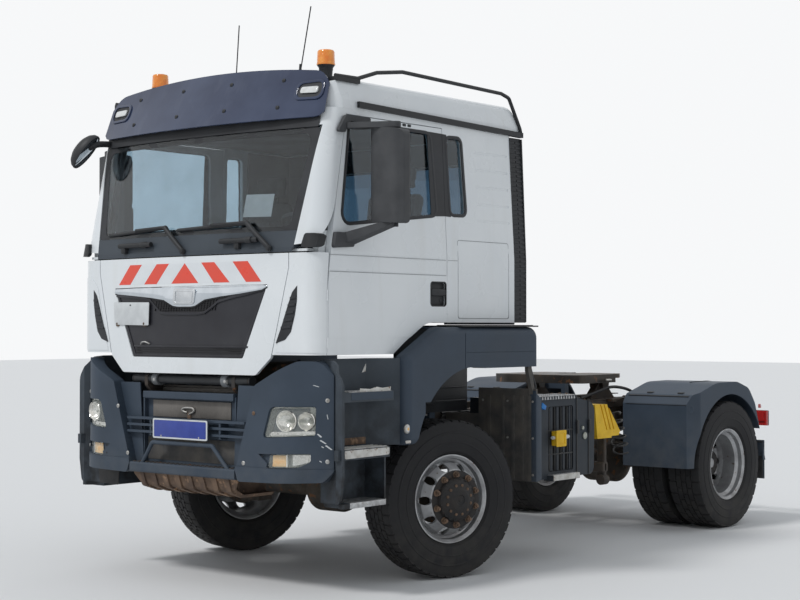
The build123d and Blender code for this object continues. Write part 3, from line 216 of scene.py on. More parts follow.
    "lidMat": {"base": (0.018, 0.019, 0.021), "worn": (0.045, 0.046, 0.047), "cloud": 10, "rough": (0.6, 0.8),
               "bump": 0.3, "grain": 90},
    "hoseBlack": {"base": (0.022, 0.022, 0.024), "worn": (0.045, 0.044, 0.043), "cloud": 12, "rough": (0.45, 0.65),
                  "bump": 0.06},
    "hoseYellow": {"base": (0.62, 0.46, 0.03), "worn": (0.50, 0.38, 0.05), "cloud": 12, "rough": (0.4, 0.55)},
    "hoseRed": {"base": (0.46, 0.030, 0.022), "worn": (0.36, 0.035, 0.028), "cloud": 12, "rough": (0.4, 0.55)},
    # Light grey for painted shade along the cab's side creases, and for the hatch's shut line.
    "seamShade": {"base": (0.36, 0.375, 0.385), "worn": (0.30, 0.31, 0.32), "cloud": 9, "rough": (0.5, 0.6)},
    "clipBlue": {"base": (0.02, 0.16, 0.50), "worn": (0.03, 0.20, 0.52), "cloud": 20, "rough": (0.35, 0.5)},
    "markerWhite": {"base": (0.72, 0.73, 0.72), "worn": (0.60, 0.60, 0.58), "cloud": 30, "rough": (0.12, 0.24),
                    "coat": 0.4},
}


def noiseAt(tree, scale, detail=4.0, rough=0.55, stretch=(1, 1, 1)):
    # Noise on the piece's own place in the frame.
    place = tree.nodes.new("ShaderNodeTexCoord")
    mapping = tree.nodes.new("ShaderNodeMapping")
    mapping.inputs["Scale"].default_value = stretch
    noise = tree.nodes.new("ShaderNodeTexNoise")
    noise.inputs["Scale"].default_value = scale
    noise.inputs["Detail"].default_value = detail
    noise.inputs["Roughness"].default_value = rough
    tree.links.new(place.outputs["Object"], mapping.inputs["Vector"])
    tree.links.new(mapping.outputs["Vector"], noise.inputs["Vector"])
    return noise.outputs["Fac"]


def spread(tree, value, low, high, outLow=0.0, outHigh=1.0):
    ranged = tree.nodes.new("ShaderNodeMapRange")
    ranged.inputs["From Min"].default_value = low
    ranged.inputs["From Max"].default_value = high
    ranged.inputs["To Min"].default_value = outLow
    ranged.inputs["To Max"].default_value = outHigh
    tree.links.new(value, ranged.inputs["Value"])
    return ranged.outputs["Result"]


def times(tree, first, second):
    maths = tree.nodes.new("ShaderNodeMath")
    maths.operation = "MULTIPLY"
    tree.links.new(first, maths.inputs[0])
    if isinstance(second, float):
        maths.inputs[1].default_value = second
    else:
        tree.links.new(second, maths.inputs[1])
    return maths.outputs[0]


def blendColours(tree, factor, under, over):
    # Sockets or (r, g, b) colours, mixed by factor.
    mix = tree.nodes.new("ShaderNodeMix")
    mix.data_type = "RGBA"
    tree.links.new(factor, mix.inputs[0])
    for socket, colour in ((mix.inputs[6], under), (mix.inputs[7], over)):
        if isinstance(colour, tuple):
            socket.default_value = (*colour, 1)
        else:
            tree.links.new(colour, socket)
    return mix.outputs[2]


def makeFinish(name):
    look = {**plainFinish, **finishes[name]}
    paint = bpy.data.materials.new(name)
    paint.use_nodes = True
    tree = paint.node_tree
    shader = tree.nodes["Principled BSDF"]
    cloud = noiseAt(tree, look["cloud"])
    colour = blendColours(tree, spread(tree, cloud, 0.35, 0.65), look["base"], look["worn"])
    if look["streaks"]:
        streak = noiseAt(tree, 9, 3, stretch=(1, 1, 0.12))
        colour = blendColours(tree, spread(tree, streak, 0.55, 0.82, 0, 0.45), colour, look["streaks"])
    # Low tint towards the bottom: road dust on most finishes, painted shade on the entry steps.
    if look["dustAndShadeMost"]:
        place = tree.nodes.new("ShaderNodeTexCoord")
        parts = tree.nodes.new("ShaderNodeSeparateXYZ")
        tree.links.new(place.outputs["Object"], parts.inputs[0])
        depth = spread(tree, parts.outputs["Z"], look["dustAndShadeTop"] * 0.25, look["dustAndShadeTop"], look["dustAndShadeMost"], 0.0)
        patch = spread(tree, noiseAt(tree, 11, 5), 0.30, 0.62)
        colour = blendColours(tree, times(tree, depth, patch), colour, look["dustAndShade"])
    roughness = spread(tree, cloud, 0.3, 0.7, *look["rough"])
    if look["marks"]:
        spots = spread(tree, noiseAt(tree, look["markScale"], 6, 0.6), look["markLevel"], look["markLevel"] + 0.06)
        colour = blendColours(tree, spots, colour, look["marks"])
    height = None
    if look["bump"]:
        height = times(tree, noiseAt(tree, look["grain"], 3), float(look["bump"]))
    if look["ribs"]:
        axis, count, depth = look["ribs"]
        place = tree.nodes.new("ShaderNodeTexCoord")
        wave = tree.nodes.new("ShaderNodeTexWave")
        wave.bands_direction = axis.upper()
        wave.inputs["Scale"].default_value = count / 20
        tree.links.new(place.outputs["Object"], wave.inputs["Vector"])
        ribbed = times(tree, wave.outputs["Fac"], float(depth))
        if height is None:
            height = ribbed
        else:
            joined = tree.nodes.new("ShaderNodeMath")
            joined.operation = "ADD"
            tree.links.new(height, joined.inputs[0])
            tree.links.new(ribbed, joined.inputs[1])
            height = joined.outputs[0]
    if height is not None:
        bump = tree.nodes.new("ShaderNodeBump")
        bump.inputs["Strength"].default_value = 1.0
        bump.inputs["Distance"].default_value = 0.004
        tree.links.new(height, bump.inputs["Height"])
        tree.links.new(bump.outputs["Normal"], shader.inputs["Normal"])
    tree.links.new(colour, shader.inputs["Base Color"])
    tree.links.new(roughness, shader.inputs["Roughness"])
    shader.inputs["Metallic"].default_value = look["metal"]
    shader.inputs["Coat Weight"].default_value = look["coat"]
    shader.inputs["Coat Roughness"].default_value = 0.08
    shader.inputs["Specular IOR Level"].default_value = look["specular"]
    if look["glow"]:
        shader.inputs["Emission Color"].default_value = (*look["base"], 1)
        shader.inputs["Emission Strength"].default_value = look["glow"]
    return paint


glassLooks = {
    "windowGlass": {"tint": (0.72, 0.80, 0.84), "cover": 1.0, "clear": 1.0},
    "sideGlass": {"tint": (0.42, 0.55, 0.64), "cover": 1.0, "clear": 1.0},
    "rearGlass": {"tint": (0.09, 0.15, 0.21), "cover": 1.0, "clear": 1.0},
    "lensClear": {"tint": (0.80, 0.84, 0.80), "cover": 0.12, "clear": 0.0},
}


def makeGlass(name):
    # Tinted glass, or a thin film where cover is how much of it hides what lies behind.
    look = glassLooks[name]
    paint = bpy.data.materials.new(name)
    paint.use_nodes = True
    tree = paint.node_tree
    shader = tree.nodes["Principled BSDF"]
    film = noiseAt(tree, 2.2)
    darker = tuple(c * 0.88 for c in look["tint"])
    tree.links.new(blendColours(tree, spread(tree, film, 0.38, 0.66), look["tint"], darker),
                   shader.inputs["Base Color"])
    shader.inputs["Roughness"].default_value = 0
    shader.inputs["Alpha"].default_value = look["cover"]
    shader.inputs["Transmission Weight"].default_value = look["clear"]
    shader.inputs["IOR"].default_value = 1.45
    return paint


paints = {}


def paintFor(name):
    if name not in paints:
        paints[name] = makeGlass(name) if name in glassLooks else makeFinish(name)
    return paints[name]


# ---- small tools: millimetres from the front axle in, metres in the frame out
def at(x, y, z):
    return Vector((x / 1000, (y + axleShift) / 1000, z / 1000))


def deselectAll():
    if bpy.context.object and bpy.context.object.mode != "OBJECT":
        bpy.ops.object.mode_set(mode="OBJECT")
    bpy.ops.object.select_all(action="DESELECT")


def makeActive(piece):
    deselectAll()
    piece.select_set(True)
    bpy.context.view_layer.objects.active = piece


def giveFinish(piece, name, finishName, body):
    piece.name = name
    piece.data.name = name
    piece.data.materials.clear()
    piece.data.materials.append(paintFor(finishName))
    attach(piece, body)
    return piece


def settle(piece):
    # Puts the object's place into its mesh.
    makeActive(piece)
    bpy.ops.object.transform_apply(location=True, rotation=True, scale=True)
    return piece


def cleanShell(piece):
    makeActive(piece)
    bpy.ops.object.mode_set(mode="EDIT")
    bpy.ops.mesh.select_all(action="SELECT")
    bpy.ops.mesh.remove_doubles(threshold=0.00002)
    bpy.ops.mesh.normals_make_consistent(inside=False)
    bpy.ops.object.mode_set(mode="OBJECT")
    return piece


def roundEdges(piece, width, segments=2, angle=40):
    makeActive(piece)
    modifier = piece.modifiers.new("roundedEdges", "BEVEL")
    modifier.width = width / 1000
    modifier.segments = segments
    modifier.limit_method = "ANGLE"
    modifier.angle_limit = math.radians(angle)
    bpy.ops.object.modifier_apply(modifier=modifier.name)
    return piece


def smooth(piece, angle=35):
    makeActive(piece)
    bpy.ops.object.shade_smooth_by_angle(angle=math.radians(angle))
    return piece


def plate(corners, axis, low, high, rounding=0, segments=2):
    # A flat outline drawn in the two other directions and extruded along axis from low to high.
    deselectAll()
    bpy.ops.mesh.primitive_circle_add(vertices=len(corners), radius=1, fill_type="NGON")
    piece = bpy.context.active_object
    for vertex, (u, v) in zip(piece.data.vertices, corners):
        vertex.co = at(*{"x": (low, u, v), "y": (u, low, v), "z": (u, v, low)}[axis])
    step = {"x": (1, 0, 0), "y": (0, 1, 0), "z": (0, 0, 1)}[axis]
    bpy.ops.object.mode_set(mode="EDIT")
    bpy.ops.mesh.select_all(action="SELECT")
    bpy.ops.mesh.extrude_region_move(
        TRANSFORM_OT_translate={"value": tuple(c * (high - low) / 1000 for c in step)})
    bpy.ops.mesh.select_all(action="SELECT")
    bpy.ops.mesh.normals_make_consistent(inside=False)
    bpy.ops.object.mode_set(mode="OBJECT")
    if rounding:
        roundEdges(piece, rounding, segments)
        smooth(piece)
    return piece


def brick(x0, x1, y0, y1, z0, z1, rounding=2, segments=2):
    return plate([(x0, y0), (x1, y0), (x1, y1), (x0, y1)], "z", z0, z1, rounding, segments)


def turned(profile, centre, axis, steps=32, rounding=0):
    # Spins a closed loop of (along, radius) points about axis through centre.
    deselectAll()
    bpy.ops.mesh.primitive_circle_add(vertices=len(profile), radius=1, fill_type="NOTHING")
    piece = bpy.context.active_object
    middle = at(*centre)
    turnAxis = {"x": Vector((1, 0, 0)), "y": Vector((0, 1, 0)), "z": Vector((0, 0, 1))}[axis]
    side = Vector((0, 0, 1)) if axis != "z" else Vector((1, 0, 0))
    for vertex, (along, radius) in zip(piece.data.vertices, profile):
        vertex.co = middle + turnAxis * (along / 1000) + side * (radius / 1000)
    bpy.ops.object.mode_set(mode="EDIT")
    bpy.ops.mesh.select_all(action="SELECT")
    bpy.ops.mesh.spin(steps=steps, angle=math.tau, center=middle, axis=turnAxis)
    bpy.ops.object.mode_set(mode="OBJECT")
    cleanShell(piece)
    if rounding:
        roundEdges(piece, rounding)
    smooth(piece, 40)
    return piece


def tube(points, radius, sides=8, bend=True):
    # A round bar through points, made a mesh before it is placed.
    data = bpy.data.curves.new("tube", "CURVE")
    data.dimensions = "3D"
    data.bevel_depth = radius / 1000
    data.bevel_resolution = max(1, sides // 4)
    data.use_fill_caps = True
    data.resolution_u = 6
    spline = data.splines.new("NURBS" if bend else "POLY")
    spline.points.add(len(points) - 1)
    for point, place in zip(spline.points, points):
        point.co = (*at(*place), 1)
    if bend:
        spline.order_u = 3
        spline.use_endpoint_u = True
    piece = bpy.data.objects.new("tube", data)
    bpy.context.collection.objects.link(piece)
    makeActive(piece)
    bpy.ops.object.convert(target="MESH")
    piece = bpy.context.active_object
    cleanShell(piece)
    return smooth(piece, 50)


def joinPieces(pieces):
    deselectAll()
    for piece in pieces:
        piece.select_set(True)
    bpy.context.view_layer.objects.active = pieces[0]
    bpy.ops.object.join()
    return bpy.context.active_object


def copyOf(piece, matrix=None):
    # A copy with its own mesh, moved by matrix.
    twin = piece.copy()
    twin.data = piece.data.copy()
    twin.parent = None
    twin.matrix_world = Matrix.Identity(4)
    bpy.context.collection.objects.link(twin)
    if matrix is not None:
        twin.data.transform(matrix)
        if matrix.determinant() < 0:
            twin.data.flip_normals()
    return twin


def placed(piece, matrix):
    piece.data.transform(matrix)
    if matrix.determinant() < 0:
        piece.data.flip_normals()
    return piece


def shifted(piece, dx, dy=0, dz=0):
    return copyOf(piece, Matrix.Translation((dx / 1000, dy / 1000, dz / 1000)))


def mirrorOf(piece):
    return copyOf(piece, Matrix.Diagonal((-1, 1, 1, 1)))


def withMirror(piece):
    return joinPieces([piece, mirrorOf(piece)])


def turnAbout(centre, degrees, axis):
    middle = at(*centre)
    return Matrix.Translation(middle) @ Matrix.Rotation(math.radians(degrees), 4, axis) @ Matrix.Translation(-middle)


def bowed(piece, cuts=0, offset=0.0):
    # Follows the cab's bowed front: y grows with the square of x.
    makeActive(piece)
    if cuts:
        bpy.ops.object.mode_set(mode="EDIT")
        bpy.ops.mesh.select_all(action="SELECT")
        bpy.ops.mesh.subdivide(number_cuts=cuts)
        bpy.ops.object.mode_set(mode="OBJECT")
    for vertex in piece.data.vertices:
        vertex.co.y += vertex.co.x ** 2 / 20.05 + offset / 1000
    piece.data.update()
    return piece


cabFront = -1460    # frontmost line of the cab, before its bow
screenLean = 125 / 790    # how far the windscreen leans back for each millimetre up


def softCorners(corners, steps=5):
    # Corners (u, v) or (u, v, radius) as a polygon with its round corners divided into short runs.
    points = []
    count = len(corners)
    for i, corner in enumerate(corners):
        here = Vector(corner[:2])
        radius = corner[2] if len(corner) > 2 else 0
        if not radius:
            points.append(tuple(here))
            continue
        before = (Vector(corners[i - 1][:2]) - here).normalized()
        after = (Vector(corners[(i + 1) % count][:2]) - here).normalized()
        half = before.angle(after) / 2
        reach = radius / math.tan(half)
        middle = here + (before + after).normalized() * (radius / math.sin(half))
        start, end = here + before * reach - middle, here + after * reach - middle
        for k in range(steps + 1):
            way = start.slerp(end, k / steps, start)
            points.append(tuple(middle + way.normalized() * radius))
    return points


def grown(corners, amount):
    # The same outline moved outwards by amount, corner by corner.
    area = sum(corners[i - 1][0] * c[1] - c[0] * corners[i - 1][1] for i, c in enumerate(corners))
    sign = 1 if area > 0 else -1
    result = []
    for i, corner in enumerate(corners):
        here = Vector(corner[:2])
        before = (here - Vector(corners[i - 1][:2])).normalized()
        after = (Vector(corners[(i + 1) % len(corners)][:2]) - here).normalized()
        outBefore = Vector((before.y, -before.x)) * sign
        outAfter = Vector((after.y, -after.x)) * sign
        way = outBefore + outAfter
        way = way / way.length_squared * 2
        place = here + way * amount
        radius = max(0, corner[2] + amount) if len(corner) > 2 else 0
        result.append((place.x, place.y, radius) if radius else (place.x, place.y))
    return result


def ringPlate(outer, inner, axis, low, high, rounding=0):
    # A flat frame between two outlines of the same number of points, extruded along axis.
    deselectAll()
    bpy.ops.mesh.primitive_circle_add(vertices=len(inner), radius=1, fill_type="NOTHING")
    piece = bpy.context.active_object
    placed = []
    for vertex, (u, v) in zip(piece.data.vertices, inner):
        vertex.co = at(*{"x": (low, u, v), "y": (u, low, v), "z": (u, v, low)}[axis])
        placed.append(vertex.co.copy())
    bpy.ops.object.mode_set(mode="EDIT")
    bpy.ops.mesh.select_all(action="SELECT")
    bpy.ops.mesh.extrude_region_move(TRANSFORM_OT_translate={"value": (0, 0, 0)})
    bpy.ops.object.mode_set(mode="OBJECT")
    for vertex in list(piece.data.vertices)[len(inner):]:
        nearest = min(range(len(placed)), key=lambda i: (placed[i] - vertex.co).length)
        u, v = outer[nearest]
        vertex.co = at(*{"x": (low, u, v), "y": (u, low, v), "z": (u, v, low)}[axis])
    step = {"x": (1, 0, 0), "y": (0, 1, 0), "z": (0, 0, 1)}[axis]
    bpy.ops.object.mode_set(mode="EDIT")
    bpy.ops.mesh.select_all(action="SELECT")
    bpy.ops.mesh.extrude_region_move(
        TRANSFORM_OT_translate={"value": tuple(c * (high - low) / 1000 for c in step)})
    bpy.ops.mesh.select_all(action="SELECT")
    bpy.ops.mesh.normals_make_consistent(inside=False)
    bpy.ops.object.mode_set(mode="OBJECT")
    if rounding:
        roundEdges(piece, rounding)
        smooth(piece)
    return piece


def leaned(piece):
    # Follows the cab's side, which leans in above the belt line.
    for vertex in piece.data.vertices:
        rise = max(0, vertex.co.z - 2.160)
        vertex.co.x -= math.copysign(rise * 42 / 790, vertex.co.x)
    piece.data.update()
    return piece


def onScreen(piece, proud):
    # Lays a piece drawn at y = 0 on the windscreen's leaning, bowed surface.
    for vertex in piece.data.vertices:
        shift = (vertex.co.z - 2.160) * screenLean
        sag = 0.050 + shift * 0.16
        edge = 1.000 - shift * 0.25
        front = (cabFront + axleShift) / 1000 + shift
        own = vertex.co.y - axleShift / 1000
        vertex.co.y = front + sag * (vertex.co.x / edge) ** 2 - proud / 1000 + own
    piece.data.update()
    return piece


def divided(piece, cuts):
    makeActive(piece)
    bpy.ops.object.mode_set(mode="EDIT")
    bpy.ops.mesh.select_all(action="SELECT")
    bpy.ops.mesh.subdivide(number_cuts=cuts)
    bpy.ops.object.mode_set(mode="OBJECT")
    return piece


def screw(centre, axis, radius, depth, sides=16):
    # A pan-head fixing with a hollow in its middle, pointing against axis.
    return turned([(0, 0), (0, radius), (-depth * 0.6, radius), (-depth, radius * 0.72), (-depth, radius * 0.42),
                   (-depth * 0.35, radius * 0.30), (-depth * 0.35, 0)], centre, axis, sides)


# ---- finishes of the CAD nodes
nodeFinishes = {
    "frame_rails": "frameSteel", "crossmembers": "frameSteel", "bumper_centre": "bumperGrey",
    "bumper_corners": "bumperGrey", "front_lamps": "lensClear", "tail_lamps": "tailRed",
    "skid_plate": "skidRust", "radiator": "radiatorAlloy", "powertrain": "axleIron",
    "front_axle": "axleIron", "rear_axle": "axleIron", "springs": "frameSteel",
    "battery_box": "boxPlastic", "fuel_tank": "tankAlloy", "mudguards": "bumperGrey",
    "wheel_arches": "bumperGrey", "entry_steps": "stepGrey", "splash_panels": "splashDust",
    "fifth_wheel_mount": "frameSteel", "wheel_chocks": "chockYellow", "fifth_wheel": "couplingSteel",
    "cab_floor": "cabInner", "cab_sides": "cabWhite", "cab_rear_wall": "cabWhite", "cab_roof": "cabWhite",
    "cab_front": "cabWhite", "windscreen": "windowGlass", "quarter_glass": "sideGlass",
    "corner_panels": "cabWhite", "wiper_panel": "scuttleGrey", "sun_visor": "visorSmoke",
    "cab_trim": "blackTrim", "antennas": "blackTrim", "dashboard": "dashPlastic",
    "steering_wheel": "dashPlastic", "front_mirror": "blackTrim", "side_flaps": "flapBlack",
    "front_flap": "cabWhite", "grille": "grilleGrey", "door_left": "cabWhite", "door_right": "cabWhite",
    "door_glass_left": "sideGlass", "door_glass_right": "sideGlass", "mirror_left": "mirrorGrey",
    "mirror_right": "mirrorGrey", "knuckle_left": "axleIron", "knuckle_right": "axleIron",
    "front_rim_left": "rimSilver", "front_rim_right": "rimSilver", "rear_rims_left": "rimSilver",
    "rear_rims_right": "rimSilver", "beacons": "amberGlass", "seats": "seatFabric",
    "front_tyre_left": "tyreRubber", "front_tyre_right": "tyreRubber", "rear_tyres_left": "tyreRubber",
    "rear_tyres_right": "tyreRubber",
}


def paintNodes():
    for node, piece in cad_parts.items():
        paint = paintFor(nodeFinishes[node])
        piece.data.materials.clear()
        piece.data.materials.append(paint)
        smooth(piece, 30)
    print("finishes on", len(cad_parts), "CAD nodes")


# ---- tyres with their tread
tyreSizes = {
    "radius": 532, "half": 156, "steps": 240, "treadDepth": 8, "frontX": 1010, "rearOuter": 1097,
    "rearInner": 747, "steerRest": -15.5, "kingpinX": 860, "rearAxleY": 3600, "axleZ": 532,
}


def treadTyre(centreX, y, lug):
    # One carcass is spun, then its tread faces are raised in blocks; lug is how many steps a block runs.
    s = tyreSizes
    top = s["radius"] - s["treadDepth"]
    edges = [-118, -74, -66, -26, -18, 18, 26, 66, 74, 118]
    profile = [(-113, 288), (-113, 299), (-128, 306), (-136, 318), (-140, 320), (-147, 345), (-152, 376),
               (-155, 379), (-155, 385), (-152.5, 388), (-154, 410), (-152, 440), (-154, 443), (-154, 449),
               (-150, 453), (-149, 492), (-141, top - 8)]
    profile += [(edge, top) for edge in edges]
    profile += [(-u, r) for u, r in reversed(profile[:17])]
    profile += [(100, 300), (60, 330), (-60, 330), (-100, 300)]
    tyre = turned(profile, (centreX, y, s["axleZ"]), "x", s["steps"])
    makeActive(tyre)
    middle = at(centreX, y, s["axleZ"])
    bands = [(-141, -74), (-66, -26), (-18, 18), (26, 66), (74, 141)]
    turnStep = math.tau / s["steps"]
    bpy.ops.object.mode_set(mode="EDIT")
    bpy.ops.mesh.select_mode(type="FACE")
    bpy.ops.mesh.select_all(action="DESELECT")
    bpy.ops.object.mode_set(mode="OBJECT")
    for face in tyre.data.polygons:
        place = face.center - middle
        radius = math.hypot(place.y, place.z)
        if radius < (top - 12) / 1000 or abs(place.x) > 0.141:
            continue
        step = int(math.floor(math.atan2(place.z, place.y) / turnStep + 0.01)) % s["steps"]
        for k, (low, high) in enumerate(bands):
            if low / 1000 < place.x < high / 1000:
                offset = (0, lug // 2, 0, lug // 2, 0)[k]
                face.select = (step + offset) % lug != 0
    bpy.ops.object.mode_set(mode="EDIT")
    bpy.ops.mesh.extrude_region_shrink_fatten(
        TRANSFORM_OT_shrink_fatten={"value": s["treadDepth"] / 1000 * 0.93, "use_even_offset": False})
    bpy.ops.mesh.select_mode(type="VERT")
    bpy.ops.object.mode_set(mode="OBJECT")
    for vertex in tyre.data.vertices:    # nothing stands past the tyre's own radius
        place = vertex.co - middle
        radius = math.hypot(place.y, place.z)
        if radius > s["radius"] / 1000:
            place.y *= s["radius"] / 1000 / radius
            place.z *= s["radius"] / 1000 / radius
            vertex.co = middle + place
    return smooth(tyre, 32)


def buildTyres():
    s = tyreSizes
    front = treadTyre(s["frontX"], 0, 5)
    steer = turnAbout((s["kingpinX"], 0, 0), s["steerRest"], "Z")
    steerRight = turnAbout((-s["kingpinX"], 0, 0), s["steerRest"], "Z") @ Matrix.Diagonal((-1, 1, 1, 1))
    for side, matrix in (("left", steer), ("right", steerRight)):
        tyre = copyOf(front, matrix)
        giveFinish(tyre, f"treadTyreFront_{side}", "tyreRubber", f"front_wheel_{side}")
        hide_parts(f"front_tyre_{side}")
    bpy.data.objects.remove(front)
    outer = treadTyre(s["rearOuter"], s["rearAxleY"], 8)
    inner = shifted(outer, s["rearInner"] - s["rearOuter"])
    twin = joinPieces([outer, inner])
    for side, matrix in (("left", None), ("right", Matrix.Diagonal((-1, 1, 1, 1)))):
        tyre = copyOf(twin, matrix)
        giveFinish(tyre, f"treadTyresRear_{side}", "tyreRubber", f"rear_wheel_{side}")
        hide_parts(f"rear_tyres_{side}")
    bpy.data.objects.remove(twin)
    print("tyres ready")


# ---- wheel nuts, hub faces and hub bolts
hubSizes = {"nuts": 10, "circle": 167.5, "nutReach": 16, "flangeX": 1185, "hubBolts": 12, "boltCircle": 106}


def hexNut(centre, across, length, outward=1):
    corners = [(centre[1] + across * math.cos(k * math.tau / 6), centre[2] + across * math.sin(k * math.tau / 6))
               for k in range(6)]
    body = plate(corners, "x", centre[0], centre[0] + length * outward, 1.6)
    stud = turned([(0, 0), (0, across * 0.55), (length * 0.42, across * 0.55), (length * 0.5, across * 0.42),
                   (length * 0.5, 0)], (centre[0] + length * outward, centre[1], centre[2]), "x", 10)
    washer = turned([(-1, across * 0.8), (-1, across * 1.28), (5, across * 1.28), (7, across * 1.12),
                     (7, across * 0.8)], centre, "x", 16)
    return joinPieces([body, stud, washer])


def ringOf(piece, count, centre, first=0.0):
    made = [copyOf(piece, turnAbout(centre, first + 360 * k / count, "X")) for k in range(count)]
    bpy.data.objects.remove(piece)
    return joinPieces(made)


def frontHub():
    # Dark hub face over the CAD hub, with its bolt ring and rusty wheel nuts.
    h = hubSizes
    z = tyreSizes["axleZ"]
    x = h["flangeX"]
    nuts = ringOf(hexNut((x + 3, 0, z + h["circle"]), 18, 26), h["nuts"], (x, 0, z))
    bolts = ringOf(hexNut((x + 40, 0, z + 98), 8, 7), h["hubBolts"], (x, 0, z), 15)
    face = turned([(-1, 120), (-1, 195), (1.5, 196), (3, 193), (3, 150), (13, 148), (24, 140), (37, 112),
                   (38, 106), (56, 72), (58, 66), (58, 36), (54, 33), (54, 12), (57, 9), (57, 0), (50, 0),
                   (50, 60), (30, 100), (10, 112)], (x, 0, z), "x", 48)
    rings = ringOf(turned([(0, 5), (0, 12), (4, 12), (4, 5)], (x + 24, 0, z + 134), "x", 10), 20, (x, 0, z), 9)
    return nuts, bolts, joinPieces([face, rings])


def rearHub():
    # Hub seen at the bottom of the deep rear disc.
    h = hubSizes
    z, y = tyreSizes["axleZ"], tyreSizes["rearAxleY"]
    nuts = ringOf(hexNut((944, y, z + h["circle"]), 18, 26), h["nuts"], (944, y, z))
    face = turned([(1008, 100), (1010, 132), (1014, 134), (1042, 121), (1074, 98), (1074, 40), (1066, 36),
                   (1066, 0), (1060, 0), (1060, 90)], (0, y, z), "x", 40)
    bolts = ringOf(hexNut((1068, y, z + 82), 8.5, 7), h["hubBolts"], (1068, y, z))
    return nuts, joinPieces([face, bolts])


def buildHubs():
    s = tyreSizes
    nuts, bolts, face = frontHub()
    steer = turnAbout((s["kingpinX"], 0, 0), s["steerRest"], "Z")
    steerRight = turnAbout((-s["kingpinX"], 0, 0), s["steerRest"], "Z") @ Matrix.Diagonal((-1, 1, 1, 1))
    for side, matrix in (("left", steer), ("right", steerRight)):
        for piece, name, look in ((nuts, "wheelNuts", "nutRust"), (bolts, "hubBolts", "nutRust"),
                                  (face, "hubFace", "hubIron")):
            giveFinish(copyOf(piece, matrix), f"{name}Front_{side}", look, f"front_wheel_{side}")
    for piece in (nuts, bolts, face):
        bpy.data.objects.remove(piece)
    nuts, face = rearHub()
    for side, matrix in (("left", None), ("right", Matrix.Diagonal((-1, 1, 1, 1)))):
        giveFinish(copyOf(nuts, matrix), f"wheelNutsRear_{side}", "nutRust", f"rear_wheel_{side}")
        giveFinish(copyOf(face, matrix), f"hubFaceRear_{side}", "hubIron", f"rear_wheel_{side}")
    bpy.data.objects.remove(nuts)
    bpy.data.objects.remove(face)
    print("hubs ready")


# ---- cab front: stripes, bright bar, card and slot
frontSizes = {
    "stripeLow": 1975, "stripeHigh": 2107, "stripeSkin": 1.2,
    "stripes": [(-556, -431, -554, -680), (-277, -152, -277, -406), (156, 275, 411, 272), (437, 565, 680, 552)],
    "whites": [(-431, -277, -406, -554), (-152, 0, -129, -277), (0, 156, 272, 129), (275, 437, 552, 411)],
}


def buildStripes():
    f = frontSizes
    low, high = f["stripeLow"], f["stripeHigh"]
    y = cabFront - f["stripeSkin"]
    reds = [plate([(a, high), (b, high), (c, low), (d, low)], "y", y, cabFront + 0.5)
            for a, b, c, d in f["stripes"]]
    reds.append(plate([(0, high), (129, low), (-129, low)], "y", y, cabFront + 0.5))
    reds = [bowed(divided(piece, 3)) for piece in reds]
    giveFinish(joinPieces(reds), "hazardStripes", "hazardRed", "flap")
    whites = [plate([(a, high), (b, high), (c, low), (d, low)], "y", y + 0.5, cabFront + 0.5)
              for a, b, c, d in f["whites"]]
    whites = [bowed(divided(piece, 3)) for piece in whites]
    giveFinish(joinPieces(whites), "hazardFilm", "hazardWhite", "flap")
    print("stripes ready")


def buildBrightBar():
    face = cabFront + 8
    upper = [(-722, 1948), (-500, 1951), (-250, 1952), (0, 1953), (250, 1953), (500, 1953), (727, 1952)]
    lower = [(733, 1944), (690, 1924), (500, 1900), (330, 1884), (190, 1866), (150, 1849), (100, 1826), (60, 1821),
             (-60, 1821), (-110, 1827), (-165, 1850), (-200, 1866), (-330, 1882), (-500, 1896), (-690, 1910),
             (-724, 1918)]
    bar = plate(upper + lower, "y", face - 14, face + 2, 5, 3)
    giveFinish(smooth(bowed(bar, 0, 0), 40), "brightBar", "brightChrome", "flap")
    edge = plate([(x, z + 5) for x, z in upper] + [(x, z - 9) for x, z in lower], "y", face - 9, face + 1, 2)
    giveFinish(smooth(bowed(edge), 40), "barSurround", "grilleMesh", "flap")
    shield = plate(softCorners([(-108, 1834, 22), (96, 1836, 22), (108, 1934, 12), (-96, 1940, 12)]), "y",
                   face - 21, face - 10, 4, 3)
    inner = ringPlate(softCorners([(-90, 1846, 14), (80, 1848, 14), (92, 1924, 8), (-80, 1930, 8)]),
                      softCorners([(-82, 1852, 10), (73, 1854, 10), (85, 1919, 6), (-73, 1924, 6)]), "y",
                      face - 24, face - 20, 1)
    giveFinish(joinPieces([bowed(shield), bowed(inner)]), "blankShield", "satinSilver", "flap")
    # The raised V under the bar, with the mesh between them.
    line = [(-712, 1902), (-560, 1890), (-420, 1880), (-345, 1866), (-290, 1822), (-240, 1784), (-150, 1776),
            (100, 1774), (183, 1782), (240, 1812), (305, 1852), (420, 1878), (560, 1900), (712, 1932)]
    band = [(x, z + 9) for x, z in line] + [(x, z - 9) for x, z in reversed(line)]
    ridge = plate(band, "y", face - 9, face + 1, 3, 2)
    giveFinish(smooth(bowed(ridge)), "grilleRidge", "grilleGrey", "flap")
    mesh = plate([(-345, 1868), (-290, 1824), (-238, 1790), (183, 1788), (240, 1818), (300, 1856), (190, 1880),
                  (-200, 1882)], "y", face - 2.5, face + 1)
    rods = []
    for k in range(23):
        x = -300 + k * 26
        rods.append(plate([(x, 1796), (x + 4, 1796), (x + 20, 1868), (x + 16, 1868)], "y", face - 6, face - 1))
    for k in range(5):
        z = 1802 + k * 15
        half = 236 + (z - 1790) * 0.9
        rods.append(plate([(-half + 20, z), (half - 50, z), (half - 50, z + 4), (-half + 20, z + 4)], "y",
                          face - 6, face - 1))
    giveFinish(bowed(joinPieces([mesh] + rods)), "grilleMesh", "grilleMesh", "flap")
    print("bright bar ready")


